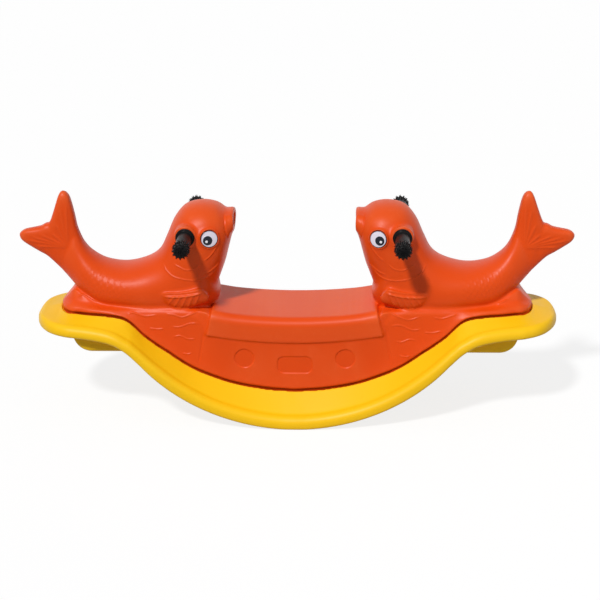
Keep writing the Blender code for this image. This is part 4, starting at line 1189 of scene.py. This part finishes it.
def eye_white():
    """Glossy white plastic with the faintest lilac cast, a little greyer towards the rim, and
    with a dark line of painted shade at its edge, where the gap round the disc lies in shadow."""
    made, shader, wire = new_material("eye_white", 0.16)
    far = wire.node("ShaderNodeVectorMath", {"operation": "LENGTH"}, {0: disc_place(wire)},
                    "Value")
    specks = noise(wire, object_place(wire), 300.0, 3.0)
    rim = ramp(wire, far * (1 / EYE_RADIUS), 0.78, 1.0)
    # Painted shade: a dark ring at the disc's edge stands for the shadow in the gap round it.
    gap_shade = ramp(wire, far * (1 / EYE_RADIUS), 0.925, 0.950)
    tone = blended(wire, 0.5 * rim + 0.12 * specks, EYE_WHITE, EYE_GREY)
    tone = blended(wire, 0.9 * gap_shade, tone, EYE_GAP_SHADE)
    feed(shader, tone, 0.14 + 0.10 * specks)
    return made


def pupil_black():
    """Near-black glossy plastic with a round pale glint printed on it."""
    made, shader, wire = new_material("pupil_black", 0.12)
    shader.inputs["Specular IOR Level"].default_value = PUPIL_SHEEN
    centre = (PUPIL_SHIFT[0] + GLINT_SHIFT[0], PUPIL_SHIFT[1] + GLINT_SHIFT[1], 0)
    gap = wire.node("ShaderNodeVectorMath", {"operation": "DISTANCE"},
                    {0: disc_place(wire), 1: centre}, "Value")
    glint = 1.0 - ramp(wire, gap * (1 / GLINT_RADIUS), 0.85, 1.0)
    specks = noise(wire, object_place(wire), 400.0, 3.0)
    dark = blended(wire, specks, PUPIL_DARK, PUPIL_BLUE)
    feed(shader, blended(wire, glint, dark, GLINT_PALE), 0.10 + 0.08 * specks)
    return made


white_gloss, pupil_gloss = eye_white(), pupil_black()
for name, (middle, normal) in eye_seats.items():
    white = domed_disc(f"eye_{name}_disc", middle, normal, EYE_RADIUS, (0.0, 0.0),
                       -EYE_THICKNESS / 2, 0.0, DISC_EDGE)
    pupil = domed_disc(f"pupil_{name}_disc", middle, normal, PUPIL_RADIUS, PUPIL_SHIFT,
                       0.0, PUPIL_PROUD, DISC_EDGE / 2)
    for piece, material, node, slot in ((white, white_gloss, "eye_", "eye_white"),
                                        (pupil, pupil_gloss, "pupil_", "pupil_black")):
        piece.data.materials.append(material)
        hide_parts(node + name)
        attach(piece, "root")


# Bolts, washers and threaded inserts
# Plated steel bolts and washers come up from below into brass inserts moulded into the hull.
# They keep their CAD form. Only the heads and washers show, from underneath.
BRASS = (0.75, 0.55, 0.22)
brass = plated_metal("turned_brass", BRASS, 0.36)
for number in range(1, 7):
    dress_node(f"base_bolt_{number}", zinc)
    dress_node(f"base_washer_{number}", zinc)
    dress_node(f"threaded_insert_{number}", brass)


# Floor, light and camera
# A plain pale floor, one soft far lamp high on the left in front of the object, a weak broad
# lamp on the other side and even light from all round. The camera stands as in the photograph.
FLOOR_SIZE = 60.0
KEY_WAY = (-0.44, -1.0, 1.20)
KEY_DISTANCE = 4.0
KEY_ANGLE = math.radians(6.0)
KEY_STRENGTH = 2.6
FILL_FROM = (2.6, -1.8, 1.6)
FILL_SIZE = 2.4
FILL_POWER = 8.0
SKY_LIGHT = 0.24
FLOOR_TO_LIGHT = 0.40
FLOOR_TO_EYE = 0.20
FLOOR_GLOW = 0.82
CAMERA_TARGET = np.array([0.0100, 0.0, 0.2801])
CAMERA_DISTANCE = 4.2
CAMERA_ELEVATION = math.radians(20.0)
CAMERA_AZIMUTH = math.radians(2.53)
CAMERA_ROLL = math.radians(-0.68)
LENS_PIXELS = 1645.5
IMAGE_WIDTH = 600.0
SENSOR = 36.0


def seen_directly(wire):
    """1 for rays straight from the camera, in a mirror or through glass, and 0 for the rest."""
    rays = [wire.node("ShaderNodeLightPath", {}, {}, name)
            for name in ("Is Camera Ray", "Is Glossy Ray", "Is Transmission Ray")]
    return wire.node("ShaderNodeMath", {"operation": "ADD", "use_clamp": True},
                     {0: rays[0] + rays[1], 1: rays[2]})


def pale_floor():
    """Matt floor that is white to the eye, keeps shadows, and returns a softer light."""
    made, shader, wire = new_material("pale_floor", 0.9)
    shader.inputs["Base Color"].default_value = (FLOOR_TO_LIGHT,) * 3 + (1,)
    shader.inputs["Specular IOR Level"].default_value = 0.0
    plain = Wire(wire.tree, shader.outputs["BSDF"])
    matt = wire.node("ShaderNodeBsdfDiffuse", {}, {"Color": (FLOOR_TO_EYE,) * 3 + (1,)})
    glow = wire.node("ShaderNodeEmission", {}, {"Color": (1, 1, 1, 1), "Strength": FLOOR_GLOW})
    white = wire.node("ShaderNodeAddShader", {}, {0: matt, 1: glow})
    mixed = wire.node("ShaderNodeMixShader", {}, {0: seen_directly(wire), 1: plain, 2: white})
    output = wire.tree.nodes["Material Output"]
    wire.tree.links.new(mixed.socket, output.inputs["Surface"])
    return made


def stand(data, right, up, back, place):
    """A lamp or camera at a place, turned so that its three axes lie along right, up and back."""
    made = object_with(data.name, data)
    turn = np.stack([right, up, back], axis=1)
    made.matrix_world = Matrix([[*row, shift] for row, shift in zip(turn, place)]
                               + [[0, 0, 0, 1]])
    return made


def hang_lamp(light, place):
    """Puts a lamp at a place, turned towards the middle of the object."""
    back = np.array(place) - CAMERA_TARGET
    back /= np.linalg.norm(back)
    right = np.cross([0.0, 0.0, 1.0], back)
    right /= np.linalg.norm(right)
    stand(light, right, np.cross(back, right), back, place)


far = FLOOR_SIZE / 2
floor_mesh = bpy.data.meshes.new("floor")
floor_mesh.from_pydata([(-far, -far, 0), (far, -far, 0), (far, far, 0), (-far, far, 0)], [],
                       [(0, 1, 2, 3)])
floor_mesh.materials.append(pale_floor())
object_with("floor", floor_mesh)

key = bpy.data.lights.new("key_lamp", "SUN")
key.energy, key.angle = KEY_STRENGTH, KEY_ANGLE
hang_lamp(key, CAMERA_TARGET + KEY_DISTANCE * np.array(KEY_WAY))
fill = bpy.data.lights.new("fill_lamp", "AREA")
fill.shape, fill.size, fill.energy = "DISK", FILL_SIZE, FILL_POWER
hang_lamp(fill, FILL_FROM)

world = bpy.data.worlds.new("studio")
world.use_nodes = True
bpy.context.scene.world = world
sky = SKY_LIGHT + (1.0 - SKY_LIGHT) * seen_directly(Wire(world.node_tree))
background = world.node_tree.nodes["Background"]
background.inputs["Color"].default_value = (1, 1, 1, 1)
world.node_tree.links.new(sky.socket, background.inputs["Strength"])

backward = np.array([math.sin(CAMERA_AZIMUTH) * math.cos(CAMERA_ELEVATION),
                     -math.cos(CAMERA_AZIMUTH) * math.cos(CAMERA_ELEVATION),
                     math.sin(CAMERA_ELEVATION)])
level_right = np.array([math.cos(CAMERA_AZIMUTH), math.sin(CAMERA_AZIMUTH), 0.0])
level_up = np.cross(backward, level_right)
rolled_right = math.cos(CAMERA_ROLL) * level_right + math.sin(CAMERA_ROLL) * level_up
rolled_up = math.cos(CAMERA_ROLL) * level_up - math.sin(CAMERA_ROLL) * level_right
camera_data = bpy.data.cameras.new("camera")
camera_data.sensor_fit = "HORIZONTAL"
camera_data.sensor_width = SENSOR
camera_data.lens = SENSOR * LENS_PIXELS / IMAGE_WIDTH
camera = stand(camera_data, rolled_right, rolled_up, backward,
               CAMERA_TARGET + CAMERA_DISTANCE * backward)
bpy.context.scene.camera = camera
bpy.context.scene.view_settings.view_transform = "Standard"
